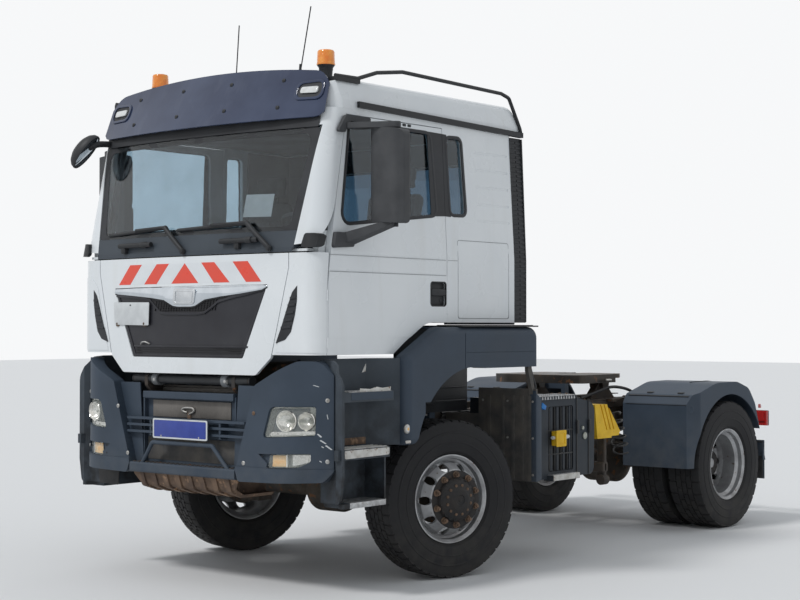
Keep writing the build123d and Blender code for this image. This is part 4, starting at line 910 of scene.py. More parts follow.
def buildGrilleParts():
    face = cabFront + 8
    frameLine = [(-520, 1496, 16), (520, 1496, 16), (718, 1940, 10), (-718, 1940, 10)]
    inner = softCorners([(-498, 1508, 12), (500, 1508, 12), (700, 1940, 10), (-700, 1940, 10)], 3)
    rim = ringPlate(softCorners(frameLine, 3), inner, "y", face - 5, face + 1, 1.5)
    giveFinish(bowed(rim, 1), "grilleEdge", "grilleGrey", "flap")
    slot = plate(softCorners([(-490, 1512, 10), (545, 1512, 10), (560, 1552, 14), (-505, 1552, 14)], 3), "y",
                 face - 1.5, face + 1)
    bars = [plate([(-485, z), (540, z), (540, z + 7), (-485, z + 7)], "y", face - 7, face, 1.5)
            for z in (1522, 1538)]
    giveFinish(bowed(joinPieces([slot] + bars), 3), "grilleSlot", "grilleMesh", "flap")
    lip = plate([(-506, 1556), (566, 1556), (572, 1568), (-512, 1568)], "y", face - 12, face, 3)
    giveFinish(bowed(lip, 2), "grilleLip", "grilleGrey", "flap")
    card = plate(softCorners([(-726, 1858, 6), (-344, 1854, 6), (-351, 1700, 6), (-717, 1705, 6)], 3), "y",
                 face - 17, face - 12, 1.5)
    hook = plate([(-551, 1832), (-537, 1832), (-537, 1841), (-551, 1841)], "y", face - 18, face - 16)
    for vertex in card.data.vertices:
        vertex.co.y += (vertex.co.x + 0.535) * -0.052 + 0.0143
    giveFinish(card, "bareCard", "cardWhite", "flap")
    giveFinish(bowed(hook), "cardSlot", "blackTrim", "flap")
    clips = [brick(x - 14, x + 14, face - 16, face + 2, 1694, 1716, 2) for x in (-690, -400)]
    clips += [screw((x, face - 17, 1712), "y", 8, 5, 10) for x in (-690, -400)]
    giveFinish(bowed(joinPieces(clips)), "cardClips", "nutRust", "flap")
    handle = [tube([(-440, face - 8, 1575), (-420, face - 22, 1590), (-370, face - 24, 1592), (-350, face - 8, 1578)],
                   5)]
    giveFinish(bowed(joinPieces(handle)), "flapPull", "dullSteel", "flap")
    print("grille ready")


# ---- windscreen border, wipers, grab handles and the card behind the glass
def bladeArm(pivot, elbow, tip, heel, name):
    # Wiper: round pivot, flat arm to the elbow, and a long blade that lies along the glass.
    cap = turned([(0, 0), (0, 21), (-16, 19), (-24, 12), (-24, 0)], pivot, "y", 20)
    rise = Vector(elbow) - Vector(pivot)
    arm = tube([pivot, tuple(Vector(pivot) + rise * 0.5 + Vector((0, -12, 0))), elbow], 17, 8)
    rod = tube([elbow, tuple((Vector(elbow) + Vector(tip)) / 2 + Vector((0, -8, 6)))], 11, 8, False)
    blade = tube([heel, tuple((Vector(heel) + Vector(tip)) / 2 + Vector((0, -4, 0))), tip], 12, 8)
    giveFinish(joinPieces([cap, arm, rod, blade]), name, "blackTrim", "cab")


ventSizes = {
    "outline": [(802, 1588), (876, 1610), (922, 1660), (953, 1765), (968, 1850), (970, 1945), (932, 1905),
                (902, 1835), (844, 1684)],
    "slats": [(846, 924, 1676), (866, 938, 1722), (884, 948, 1768), (900, 958, 1814), (918, 966, 1860)],
}


def buildVents():
    # Black face of the corner vents, a little proud of the panel, and their slats.
    face = divided(plate(ventSizes["outline"], "y", -1466, -1458), 1)
    slats = [plate([(a, z), (b, z + 6), (b, z + 22), (a, z + 16)], "y", -1472, -1465, 2)
             for a, b, z in ventSizes["slats"]]
    giveFinish(withMirror(bowed(joinPieces([face] + slats))), "cornerVents", "flapBlack", "cab")


def buildScreenParts():
    outer = softCorners([(-944, 2290, 30), (944, 2290, 30), (1022, 2948, 40), (-1022, 2948, 40)], 4)
    inner = softCorners([(-880, 2318, 40), (880, 2318, 40), (968, 2905, 60), (-968, 2905, 60)], 4)
    border = ringPlate(outer, inner, "y", 0, 1.2)
    border = onScreen(divided(border, 3), -5.0)
    giveFinish(border, "screenBorder", "flapBlack", "cab")
    bladeArm((-9, -1466, 2184), (-204, -1452, 2350), (-823, -1398, 2318), (-190, -1446, 2346), "wiperRight")
    bladeArm((752, -1440, 2184), (550, -1440, 2352), (-89, -1440, 2326), (560, -1436, 2346), "wiperLeft")
    for name, x0, x1, y0, y1, foot in (("grabHandleRight", -655, -322, -1456, -1468, -610),
                                       ("grabHandleLeft", 340, 660, -1468, -1452, 480)):
        bar = tube([(x0, y0, 2237), (x1, y1, 2240)], 17, 12, False)
        collar = turned([(-26, 0), (-26, 21), (26, 21), (26, 0)], ((x0 + x1) / 2 + 90, (y0 + y1) / 2 + 1, 2239),
                        "x", 20, 2)
        stem = brick(foot - 22, foot + 22, -1466, -1415, 2186, 2240, 6)
        giveFinish(joinPieces([bar, collar, stem]), name, "blackTrim", "cab")
    card = plate([(0, 0), (1, 0), (1, 1), (0, 1)], "y", 0, 1)
    places = [(470, 2390), (705, 2385), (712, 2530), (478, 2535)]
    for vertex in card.data.vertices:
        nearest = min(range(4), key=lambda i: (Vector(((0, 1, 1, 0)[i], (0, 0, 1, 1)[i])) -
                                               Vector((vertex.co.x * 1000, vertex.co.z * 1000))).length)
        x, z = places[nearest]
        vertex.co.x, vertex.co.z = x / 1000, z / 1000
    giveFinish(onScreen(card, -22), "screenCard", "cardWhite", "cab")
    # Black band above the screen, under the visor: partly the screen's black edge, partly painted shadow of the visor
    # on the white cab front.
    header = plate([(-1006, 2944), (1006, 2944), (1014, 3010), (-1014, 3010)], "y", 0, 3)
    giveFinish(onScreen(divided(header, 7), 4), "screenHeaderAndShadow", "flapBlack", "cab")
    skirt = bowed(divided(plate([(-926, 2157), (926, 2157), (928, 2182), (-928, 2182)], "y", -1461, -1458.5), 7))
    giveFinish(skirt, "scuttleSkirt", "scuttleGrey", "cab")
    buildVents()
    print("windscreen parts ready")


# ---- visor bolts, marker lamps and beacons
def onVisor(x, z):
    # Depth of the visor's bowed sheet at one place.
    share = (z - 3005) / (3370 - 3005 - 70 * (x / 1030) ** 2)
    low = -1385 + 120 * (x / 1050) ** 2
    high = -1200 + 35 * (x / 1030) ** 2
    return low + (high - low) * share


def visorEdge(x, low):
    # z of the sheet's lower or crowned upper edge, drawn in at the round ends.
    reach = max(0.0, abs(x) - (980 if low else 900))
    if low:
        return 3005 + 34 * (reach / 68) ** 2.4
    return 3370 - 70 * (x / 1030) ** 2 - 105 * (reach / 148) ** 2.6


def visorSheet():
    deselectAll()
    bpy.ops.mesh.primitive_grid_add(x_subdivisions=64, y_subdivisions=10, size=2)
    piece = bpy.context.active_object
    for vertex in piece.data.vertices:
        share = (vertex.co.y + 1) / 2
        x = vertex.co.x * (1048 - 14 * share)
        z = visorEdge(x, True) * (1 - share) + visorEdge(x, False) * share
        vertex.co = at(x, onVisor(x, z), z)
    makeActive(piece)
    solid = piece.modifiers.new("sheet", "SOLIDIFY")
    solid.thickness = 0.008
    solid.offset = -1
    bpy.ops.object.modifier_apply(modifier=solid.name)
    piece = smooth(cleanShell(piece), 40)
    stays = [brick(s * x - 12, s * x + 12, front, front + 118, 3165, 3177, 2)
             for x, front in ((420, -1272), (820, -1228)) for s in (1, -1)]
    giveFinish(joinPieces([piece] + stays), "visorSheet", "visorSmoke", "cab")
    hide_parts("sun_visor")


def buildVisorParts():
    visorSheet()
    bolts = []
    for z0, xs in ((3279, (-715, -251, 213, 665)), (3096, (-692, -221, 234, 684))):
        for x in xs:
            z = z0 - 0.00003 * x * x
            bolt = turned([(6, 0), (6, 15), (-3, 15), (-7, 10), (-7, 0)], (x, onVisor(x, z), z), "y", 16)
            bolts.append(bolt)
    giveFinish(joinPieces(bolts), "visorBolts", "blackTrim", "cab")
    for side, sign in (("left", 1), ("right", -1)):
        ring = ringPlate(softCorners([(-112, -62, 46), (112, -68, 46), (106, 66, 46), (-108, 60, 46)]),
                         softCorners([(-92, -46, 36), (94, -50, 36), (88, 48, 36), (-90, 44, 36)]), "y", -9, 3, 3)
        lens = plate(softCorners([(-66, -20, 14), (66, -24, 14), (64, 20, 14), (-66, 22, 14)]), "y", -14, 2, 4, 3)
        back = plate(softCorners([(-92, -46, 36), (94, -50, 36), (88, 48, 36), (-90, 44, 36)]), "y", -2, 2)
        for piece, name, look in ((ring, "markerRing", "visorSmoke"), (lens, "markerLens", "markerWhite"),
                                  (back, "markerBack", "flapBlack")):
            origin = at(0, 0, 0)
            for vertex in piece.data.vertices:
                own = vertex.co - origin
                x, z = sign * 901 + own.x * 1000 * sign, 3186 + own.z * 1000
                vertex.co = at(x, onVisor(x, z) + own.y * 1000, z)
            if sign < 0:
                cleanShell(piece)
            giveFinish(piece, f"{name}_{side}", look, "cab")
    for side, x in (("left", 796), ("right", -796)):
        base = turned([(-1, 0), (-1, 46), (14, 46), (26, 55), (34, 60), (38, 60), (38, 0)], (x, -965, 3352), "z", 32)
        lens = turned([(0, 0), (0, 60), (6, 61.5), (12, 59), (86, 56), (95, 51), (99, 40), (100, 0)],
                      (x, -965, 3384), "z", 36)
        stem = turned([(-90, 0), (-90, 40), (0, 44), (0, 0)], (x, -965, 3352), "z", 24)
        giveFinish(joinPieces([base, stem]), f"beaconBase_{side}", "blackTrim", "cab")
        giveFinish(lens, f"beaconLens_{side}", "amberGlass", "cab")
        if side == "left":
            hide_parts("beacons")
    coils = []
    for x, height in ((46, 3345), (639, 3345)):
        coils.append(turned([(0, 0), (0, 20), (10, 20), (26, 9), (60, 6.5), (60, 0)], (x, -1040, height - 6), "z", 16))
    giveFinish(joinPieces(coils), "antennaFeet", "blackTrim", "cab")
    print("visor parts and beacons ready")


# ---- doors, windows, mirrors and side flaps; each left piece is mirrored for the right side
windowSizes = {
    "door": [(-1165, 2335, 60), (-205, 2440, 50), (-240, 2985, 50), (-1050, 2985, 50)],
    "quarter": [(-52, 2450, 40), (120, 2455, 40), (96, 2980, 40), (-70, 2975, 40)],
    "sealWidth": 16, "sealSkin": 1123,
}


def onBothDoors(piece, name, look, body="door"):
    twin = mirrorOf(piece)
    for side, made in (("left", piece), ("right", twin)):
        giveFinish(made, f"{name}_{side}", look, body if body != "door" else f"door_{side}")


def buildDoorParts():
    w = windowSizes
    outline = [(y, z, r) for y, z, r in w["door"]]
    outer = softCorners(grown(outline, w["sealWidth"]))
    inner = softCorners(grown(outline, -7))
    seal = leaned(ringPlate(outer, inner, "x", 1114, w["sealSkin"], 1.5))
    onBothDoors(seal, "doorSeal", "flapBlack")
    pillar = plate(softCorners([(-262, 2428, 10), (-113, 2436, 4), (-113, 2996, 4), (-270, 2998, 10)], 3), "x",
                   1117, 1122)
    onBothDoors(leaned(divided(pillar, 1)), "doorPillar", "flapBlack")
    outline = [(y, z, r) for y, z, r in w["quarter"]]
    seal = ringPlate(softCorners(grown(outline, w["sealWidth"])), softCorners(grown(outline, -7)), "x",
                     1114, w["sealSkin"], 1.5)
    onBothDoors(leaned(seal), "quarterSeal", "flapBlack", "cab")
    band = plate(softCorners([(-110.5, 2436, 4), (-44, 2434, 10), (-62, 2994, 10), (-110.5, 2996, 4)], 3), "x",
                 1117, 1122)
    onBothDoors(leaned(divided(band, 1)), "quarterPillar", "flapBlack", "cab")
    # Grip in its black recess.
    cup = plate(softCorners([(-286, 1832, 18), (-124, 1832, 18), (-124, 1988, 18), (-286, 1988, 18)]), "x",
                1101, 1104, 1)
    rim = ringPlate(softCorners([(-293, 1826, 24), (-118, 1826, 24), (-118, 1994, 24), (-293, 1994, 24)]),
                    softCorners([(-284, 1834, 16), (-126, 1834, 16), (-126, 1986, 16), (-284, 1986, 16)]),
                    "x", 1112, 1124.6, 1.5)
    grip = plate(softCorners([(-280, 1898, 14), (-130, 1898, 14), (-130, 1944, 14), (-280, 1944, 14)]), "x",
                 1104, 1126, 5, 3)
    lock = turned([(0, 0), (0, 11), (3, 11), (4, 9), (4, 0)], (1104, -160, 1866), "x", 16)
    onBothDoors(joinPieces([cup, rim, grip, lock]), "doorGrip", "blackTrim")
    # Moulded vent with three slots over the window.
    slots = [plate(softCorners([(y - 18, 3018 - 9, 8), (y + 18, 3018 - 9, 8), (y + 18, 3018 + 9, 8),
                                (y - 18, 3018 + 9, 8)], 3), "x", 1073, 1077.5, 0.8) for y in (-560, -508, -456)]
    onBothDoors(joinPieces(slots), "headerSlots", "flapBlack")
    # Inner trim and pull of the door.
    trim = plate(softCorners([(-1240, 1600, 40), (-140, 1740, 40), (-140, 2400, 30), (-1170, 2310, 60)]), "x",
                 1058, 1079, 6)
    rest = plate(softCorners([(-1000, 2050, 20), (-260, 2090, 20), (-260, 2150, 20), (-1000, 2110, 20)]), "x",
                 1016, 1060, 12, 3)
    onBothDoors(joinPieces([trim, rest]), "doorTrim", "dashPlastic")
    # Light grey strips along the door's two creases: painted shade.
    creases = [brick(1122.4, 1123.9, -1285, -122, z, z + 3.5, 0) for z in (2137, 2033)]
    onBothDoors(joinPieces(creases), "doorCreaseShade", "seamShade")
    hatch = [(10, 1745, 20), (600, 1745, 20), (600, 2282, 20), (10, 2282, 20)]
    line = ringPlate(softCorners(hatch), softCorners(grown(hatch, -5)), "x", 1116, 1120.8)
    # A light grey strip of painted shade along the crease behind the door; the ring above is the hatch's shut line.
    crease = brick(1119.5, 1121, -100, 8, 2137, 2140.5, 0)
    onBothDoors(leaned(joinPieces([line, crease])), "hatchLine", "seamShade", "cab")
    sill = brick(1078, 1098, -92, 700, 1706, 1726, 3)
    onBothDoors(sill, "sillRubber", "flapBlack", "cab")
    print("door parts ready")


mirrorSizes = {"inner": 1186, "outer": 1450, "backInner": -875, "backOuter": -890}


def buildMirrors():
    m = mirrorSizes
    glasses = []
    for low, high, left, right in ((2580, 2905, 1204, 1432), (2378, 2556, 1196, 1434)):
        pane = plate(softCorners([(left, low, 22), (right, low, 22), (right, high, 22), (left, high, 22)]), "y",
                     0, 3, 1)
        frameRing = ringPlate(
            softCorners([(left - 8, low - 8, 26), (right + 8, low - 8, 26), (right + 8, high + 8, 26),
                         (left - 8, high + 8, 26)]),
            softCorners([(left, low, 20), (right, low, 20), (right, high, 20), (left, high, 20)]), "y", -6, 2, 1)
        glasses.append((pane, frameRing))
    for pane, ring in glasses:
        for piece in (pane, ring):
            for vertex in piece.data.vertices:
                across = (vertex.co.x * 1000 - m["inner"]) / (m["outer"] - m["inner"])
                vertex.co.y += (m["backInner"] + (m["backOuter"] - m["backInner"]) * across) / 1000
    onBothDoors(joinPieces([g[0] for g in glasses]), "mirrorGlass", "mirrorGlass")
    onBothDoors(joinPieces([g[1] for g in glasses]), "mirrorRims", "flapBlack")
    knuckles = [turned([(-14, 0), (-14, 17), (14, 17), (14, 0)], (1352, -925, z), "z", 20, 2)
                for z in (2332, 2956)]
    onBothDoors(joinPieces(knuckles), "mirrorFittings", "flapBlack")
    print("mirrors ready")


capSizes = {
    "middle": (-1062, -1414, 2912), "faces": (0.741, 0.303, -0.599), "along": (0.473, 0.394, 0.788),
    "long": 140, "wide": 78, "deep": 82,
}


def buildCapMirror():
    # Bowl of the front mirror, open towards the driver, with its glass and arm.
    c = capSizes
    out = Vector(c["faces"]).normalized()
    across = out.cross(Vector(c["along"])).normalized()
    along = across.cross(out).normalized()
    bowl = turned([(-1.0, 0), (-0.97, 0.26), (-0.84, 0.56), (-0.60, 0.81), (-0.30, 0.96), (0, 1.0), (0.10, 0.98),
                   (0.10, 0.90), (0.0, 0.88)], (0, 0, 0), "z", 40)
    glass = turned([(0.0, 0), (0.0, 0.89), (0.06, 0.89), (0.12, 0.6), (0.14, 0)], (0, 0, 0), "z", 40)
    for piece in (bowl, glass):
        for vertex in piece.data.vertices:
            own = (vertex.co - at(0, 0, 0)) * 1000
            place = (Vector(c["middle"]) + across * (own.x * c["wide"]) + along * (own.y * c["long"])
                     + out * (own.z * c["deep"]))
            vertex.co = at(place.x, max(place.y, -1508), place.z)
        smooth(cleanShell(piece), 50)
    giveFinish(bowl, "capMirror", "blackTrim", "cab")
    giveFinish(glass, "capMirrorGlass", "mirrorGlass", "cab")
    arm = tube([(-988, -1250, 2974), (-990, -1330, 2972), (-1010, -1380, 2962), (-1045, -1405, 2940)], 22, 10)
    giveFinish(arm, "capMirrorArm", "blackTrim", "cab")
    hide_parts("front_mirror")
    print("front mirror ready")


def buildSideFlaps():
    ribs = []
    low, pitch = 1740, 34
    count = 38
    for k in range(count):
        z = low + k * pitch
        half = 1114 - 42 * max(0, z - 2160) / 790
        for y0, y1 in ((674, 732), (742, 804)):
            ribs.append(plate([(half - 1, z), (half + 4, z + 3), (half + 4, z + 17), (half - 1, z + 20)], "y", y0, y1))
        ribs.append(plate([(half - 46, z + 2), (half - 6, z + 2), (half - 6, z + 18), (half - 46, z + 18)], "y",
                          811, 815))
    edge = plate([(1104, 1724), (1118, 1724), (1118, 2160), (1081, 3040), (1067, 3040), (1104, 2160)], "y", 806, 816)
    strip = plate([(1104, 1724), (1118, 1724), (1118, 2160), (1081, 3040), (1067, 3040), (1104, 2160)], "y", 664, 671)
    onBothDoors(joinPieces(ribs + [edge, strip]), "flapRibs", "flapBlack", "cab")
    print("side flaps ready")


# ---- inside of the cab
def buildInterior():
    lining = [brick(-1066, 1066, 604, 622, 1775, 2338, 6), brick(-1040, 1040, 604, 622, 2868, 3034, 6),
              brick(-58, 58, 604, 622, 2330, 2875, 6), brick(808, 1048, 604, 622, 2330, 2875, 6),
              brick(-1048, -808, 604, 622, 2330, 2875, 6)]
    giveFinish(joinPieces(lining), "rearLining", "cabInner", "cab")
    panes = [brick(x0, x1, 640, 645, 2322, 2868, 1) for x0, x1 in ((-808, -52), (52, 808))]
    giveFinish(joinPieces(panes), "rearPanes", "rearGlass", "cab")
    seals = []
    for x0, x1 in ((-800, -60), (60, 800)):
        ring = [(x0, 2330, 40), (x1, 2330, 40), (x1, 2860, 40), (x0, 2860, 40)]
        seals.append(ringPlate(softCorners(grown(ring, 12)), softCorners(grown(ring, -10)), "y", 660, 672, 2))
    giveFinish(joinPieces(seals), "rearSeals", "flapBlack", "cab")
    sides = [brick(1062, 1076, -95, 604, 1775, 2400, 4), brick(1030, 1052, 150, 604, 2400, 3034, 4)]
    giveFinish(withMirror(joinPieces(sides)), "sideLining", "cabInner", "cab")
    headliner = brick(-1000, 1000, -1130, 600, 3040, 3058, 6)
    shelf = plate([(-1200, 2975), (-1010, 2955), (-990, 3036), (-1200, 3036)], "x", -960, 960, 8)
    giveFinish(joinPieces([headliner, shelf]), "headliner", "cabInner", "cab")
    pillars = plate([(-1268, 2180), (-1230, 2180), (-1080, 2990), (-1118, 2990)], "x", 1000, 1040, 6)
    giveFinish(withMirror(pillars), "pillarTrim", "cabInner", "cab")
    # Instruments, bezels and the middle stack on the dash.
    hood = plate([(-1155, 2255), (-1010, 2245), (-985, 2285), (-1060, 2312), (-1150, 2300)], "x", 430, 810, 10, 3)
    dials = [turned([(0, 0), (0, 62), (-6, 62), (-8, 56), (-8, 0)], (x, -985, 2215), "y", 28) for x in (540, 700)]
    stack = plate([(-1000, 1960), (-905, 2120), (-925, 2240), (-1020, 2240)], "x", 60, 330, 10, 3)
    vents = [brick(x - 60, x + 60, -935, -915, 2160, 2210, 6) for x in (-820, -200, 195, 900)]
    giveFinish(joinPieces([hood, stack] + dials + vents), "dashParts", "blackTrim", "cab")
    bunk = brick(-1010, 1010, 130, 600, 2000, 2120, 40, 4)
    giveFinish(bunk, "restShelf", "cabInner", "cab")
    print("cab inside ready")


seatSizes = {"x": 620, "voxel": 6, "pressure": 3.6, "frames": 18, "cap": 14}


def cushion(corners, x0, x1, rounding):
    piece = plate(softCorners(corners, 3), "x", x0, x1, rounding, 4)
    makeActive(piece)
    remesh = piece.modifiers.new("evenSkin", "REMESH")
    remesh.mode = "VOXEL"
    remesh.voxel_size = seatSizes["voxel"] * 1.7 / 1000
    bpy.ops.object.modifier_apply(modifier=remesh.name)
    return piece


def plump(piece):
    # Swells the pad as cloth under pressure, with its movement capped.
    s = seatSizes
    before = [vertex.co.copy() for vertex in piece.data.vertices]
    makeActive(piece)
    cloth = piece.modifiers.new("paddedSkin", "CLOTH")
    cloth.settings.use_pressure = True
    cloth.settings.uniform_pressure_force = s["pressure"]
    cloth.settings.effector_weights.gravity = 0
    cloth.settings.quality = 4
    cloth.point_cache.frame_start = 1
    cloth.point_cache.frame_end = s["frames"]
    for step in range(1, s["frames"] + 1):
        bpy.context.scene.frame_set(step)
    bpy.ops.object.modifier_apply(modifier=cloth.name)
    cap = s["cap"] / 1000
    for vertex, start in zip(piece.data.vertices, before):
        way = vertex.co - start
        if way.length > cap:
            vertex.co = start + way.normalized() * cap
    bpy.context.scene.frame_set(1)
    makeActive(piece)
    finer = piece.modifiers.new("finer", "SUBSURF")
    finer.levels = 1
    finer.render_levels = 1
    bpy.ops.object.modifier_apply(modifier=finer.name)
    return smooth(piece, 60)


def grooved(piece, channels, width, depth):
    # Presses sewn channels into the pad: each is (axis index, place in mm, outward axis index, way).
    for axis, place, outward, way in channels:
        for vertex in piece.data.vertices:
            gap = abs(vertex.co[axis] * 1000 - place)
            if gap < width and vertex.normal[outward] * way > 0.55:
                fall = 0.5 + 0.5 * math.cos(math.pi * gap / width)
                vertex.co[outward] -= way * depth * fall / 1000
    piece.data.update()
    return piece


def buildSeats():
    x = seatSizes["x"]
    base = cushion([(-748, 1912, 40), (-252, 1912, 30), (-232, 2016, 50), (-742, 2026, 55)], x - 236, x + 236, 30)
    back = cushion([(-228, 1972, 20), (-132, 1972, 30), (16, 2620, 50), (-96, 2620, 50)], x - 226, x + 226, 34)
    head = cushion([(-48, 2652, 20), (12, 2652, 20), (38, 2806, 40), (-46, 2806, 40)], x - 126, x + 126, 26)
    for piece in (base, back, head):
        plump(piece)
    seam = [(0, x - 120, 2, 1), (0, x + 120, 2, 1), (1, -560 + axleShift, 2, 1)]
    grooved(base, seam, 12, 7)
    grooved(back, [(0, x - 120, 1, -1), (0, x + 120, 1, -1), (2, 2250, 1, -1), (2, 2460, 1, -1)], 12, 7)
    for name, piece in (("seatBase", base), ("seatBack", back), ("seatHead", head)):
        for side, made in (("left", piece), ("right", mirrorOf(piece))):
            giveFinish(made, f"{name}_{side}", "seatFabric", "cab")
    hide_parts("seats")
    stands = [brick(x - 190, x + 190, -690, -260, 1770, 1880, 14), brick(x - 215, x + 215, -730, -240, 1876, 1912, 10)]
    posts = [tube([(x + dx, -8, 2610), (x + dx, -4, 2660)], 7) for dx in (-60, 60)]
    giveFinish(withMirror(joinPieces(stands + posts)), "seatStands", "blackTrim", "cab")
    print("seats ready")


def buildWheelRim():
    # Centre pad and two buttons laid over the steering wheel.
    lean = turnAbout((620, -880, 2330), -25, "X")
    pad = plate(softCorners([(620 - 85, -880 - 60, 25), (620 + 85, -880 - 60, 25), (620 + 70, -880 + 70, 30),
                             (620 - 70, -880 + 70, 30)]), "z", 2340, 2352, 5, 3)
    buttons = [plate(softCorners([(620 + s * 120 - 22, -893, 8), (620 + s * 120 + 22, -893, 8),
                                  (620 + s * 120 + 22, -867, 8), (620 + s * 120 - 22, -867, 8)], 3), "z",
                     2335, 2341, 2) for s in (-1, 1)]
    piece = placed(joinPieces([pad] + buttons), lean)
    giveFinish(piece, "wheelPads", "blackTrim", "steering_wheel")


# ---- bumper: lamps, screws, scuffs, plate, tow hook and hinge tube fittings
lampSizes = {
    "head": [(905, 1108, 64), (1014, 1108, 54)],
    "headOutline": [(747, 1004, 14), (1069, 1021, 12), (1073, 1195, 12), (810, 1193, 48)],
    "fogOutline": [(779, 815, 8), (984, 823, 56), (1047, 861, 17), (1048, 905, 8), (798, 899, 8)],
}


def bumperFace(x, inset=0.0):
    # y of the bumper corner's front in plan: flat, then a round corner, then a slanted end.
    front, start, radius = -1490 + inset, 807, 300 - inset
    if x <= start:
        return front
    if x <= start + 190:
        return front + radius - math.sqrt(radius ** 2 - (x - start) ** 2)
    return front + 68 + (x - start - 190) * 0.821


def levelsAt(corners, x):
    # Lowest and highest z of a closed (x, z) outline at one x.
    found = []
    for (x0, z0), (x1, z1) in zip(corners, corners[1:] + corners[:1]):
        if min(x0, x1) <= x <= max(x0, x1) and x0 != x1:
            found.append(z0 + (z1 - z0) * (x - x0) / (x1 - x0))
    return min(found), max(found)


def bumperSkin(corners, inset, thick, columns=20, rows=4):
    # A thin sheet cut to an outline and laid on the bumper's curved face.
    deselectAll()
    bpy.ops.mesh.primitive_grid_add(x_subdivisions=columns, y_subdivisions=rows, size=2)
    piece = bpy.context.active_object
    low, high = min(c[0] for c in corners) + 0.5, max(c[0] for c in corners) - 0.5
    for vertex in piece.data.vertices:
        x = low + (high - low) * (vertex.co.x + 1) / 2
        bottom, top = levelsAt(corners, x)
        vertex.co = at(x, bumperFace(x, inset), bottom + (top - bottom) * (vertex.co.y + 1) / 2)
    makeActive(piece)
    solid = piece.modifiers.new("sheet", "SOLIDIFY")
    solid.thickness = thick / 1000
    solid.offset = -1
    bpy.ops.object.modifier_apply(modifier=solid.name)
    return smooth(cleanShell(piece), 40)


def buildLamps():
    bowls, rings, backs = [], [], []
    for x, z, radius in lampSizes["head"]:
        y = bumperFace(x) + 36
        bowl = turned([(34, 0), (30, radius * 0.35), (12, radius * 0.75), (-12, radius * 0.97), (-12, radius),
                       (14, radius * 0.80), (34, radius * 0.38), (38, 0)], (x, y, z), "y", 36)
        ring = turned([(-14, radius * 0.99), (-17, radius * 1.04), (-12, radius * 1.10), (-4, radius * 1.08),
                       (-4, radius * 0.99)], (x, y, z), "y", 36)
        bulb = turned([(30, 0), (30, 9), (2, 9), (-4, 6), (-6, 0)], (x, y, z), "y", 16)
        turn = turnAbout((x, y, z), 16, "Z")
        for piece, group in ((bowl, bowls), (ring, rings), (bulb, backs)):
            group.append(placed(piece, turn))
    outline = softCorners(lampSizes["headOutline"], 4)
    housing = bumperSkin(outline, 76, 4)
    walls = ringPlate(outline, softCorners(grown(lampSizes["headOutline"], -7), 4), "y", 0, 46)
    for vertex in divided(walls, 1).data.vertices:
        vertex.co.y += bumperFace(vertex.co.x * 1000, 20) / 1000
    shelf = bumperSkin([(762, 1012), (1064, 1026), (1066, 1048), (770, 1036)], 34, 5)
    lower = [bumperSkin([(x, 1018), (x + 58, 1021), (x + 58, 1033), (x, 1030)], 27, 6, 4)
             for x in (785, 860, 935, 1000)]
    giveFinish(withMirror(joinPieces(bowls + rings + [shelf] + lower)), "headlampBowls", "lampChrome", "chassis")
    giveFinish(withMirror(joinPieces(backs + [housing, walls])), "headlampBacks", "lampBowl", "chassis")
    lens = withMirror(bumperSkin(outline, 14, 3, 28))
    giveFinish(lens, "headlampLens", "lensClear", "chassis")
    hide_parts("front_lamps")
    # Fog lamp: amber lens inboard, clear reflector outboard.
    fog = softCorners(lampSizes["fogOutline"], 4)
    giveFinish(withMirror(bumperSkin(fog, 14, 3)), "fogLens", "lensClear", "chassis")
    amber = bumperSkin([(806, 824), (908, 827), (908, 896), (812, 894)], 26, 5)
    clear = bumperSkin([(926, 830), (1030, 852), (1036, 898), (926, 897)], 52, 5)
    divider = bumperSkin([(911, 824), (921, 824), (921, 900), (911, 900)], 18, 30, 3)
    back = bumperSkin(fog, 66, 4)
    giveFinish(withMirror(amber), "fogAmber", "lampAmber", "chassis")
    giveFinish(withMirror(joinPieces([clear, divider])), "fogBowls", "lampChrome", "chassis")
    giveFinish(withMirror(back), "fogBacks", "lampBowl", "chassis")
    print("lamps ready")


scuffShapes = [
    [(1079, 1030), (1098, 1008), (1104, 1014), (1086, 1033)], [(1092, 990), (1121, 968), (1126, 972), (1096, 997)],
    [(1118, 958), (1150, 930), (1154, 935), (1124, 964)], [(1100, 952), (1112, 944), (1114, 948), (1103, 956)],
    [(1090, 864), (1101, 855), (1104, 859), (1094, 868)], [(592, 774), (606, 768), (608, 771), (594, 777)],
    [(1060, 1330), (1090, 1318), (1091, 1322), (1062, 1334)], [(1126, 1150), (1131, 1120), (1134, 1122), (1129, 1152)],
]


def buildBumperParts():
    screws = [((1130, -1312, 1236), 14), ((1130, -1312, 860), 14), ((577, -1490, 834), 14), ((-623, -1490, 1157), 14),
              ((-524, -1490, 845), 14), ((-1130, -1312, 1236), 14), ((-1130, -1312, 860), 14)]
    made = []
    for (x, y, z), radius in screws:
        piece = screw((x, y + 1, z), "y", radius, 6)
        if abs(x) > 1000:
            piece = placed(piece, turnAbout((x, y, z), math.copysign(46, x), "Z"))
        made.append(piece)
    giveFinish(joinPieces(made), "bumperScrews", "dullSteel", "chassis")
    giveFinish(screw((667, -1489, 1150), "y", 13, 6), "rustyScrew", "nutRust", "chassis")
    # Near-black discs as painted shade in the bumper's holes.
    holes = [turned([(0, 0), (0, 6), (-0.8, 6), (-0.8, 0)], (x, -1490 + (x > 700) * 1, z), "y", 12)
             for x, z in ((740, 886), (740, 835), (-740, 886), (-740, 835))]
    giveFinish(joinPieces(holes), "bumperHoles", "grilleMesh", "chassis")
    giveFinish(joinPieces([bumperSkin(corners, -0.5, 0.8, 5, 2) for corners in scuffShapes]), "bumperScuffs",
               "cardWhite", "chassis")
    print("bumper screws ready")


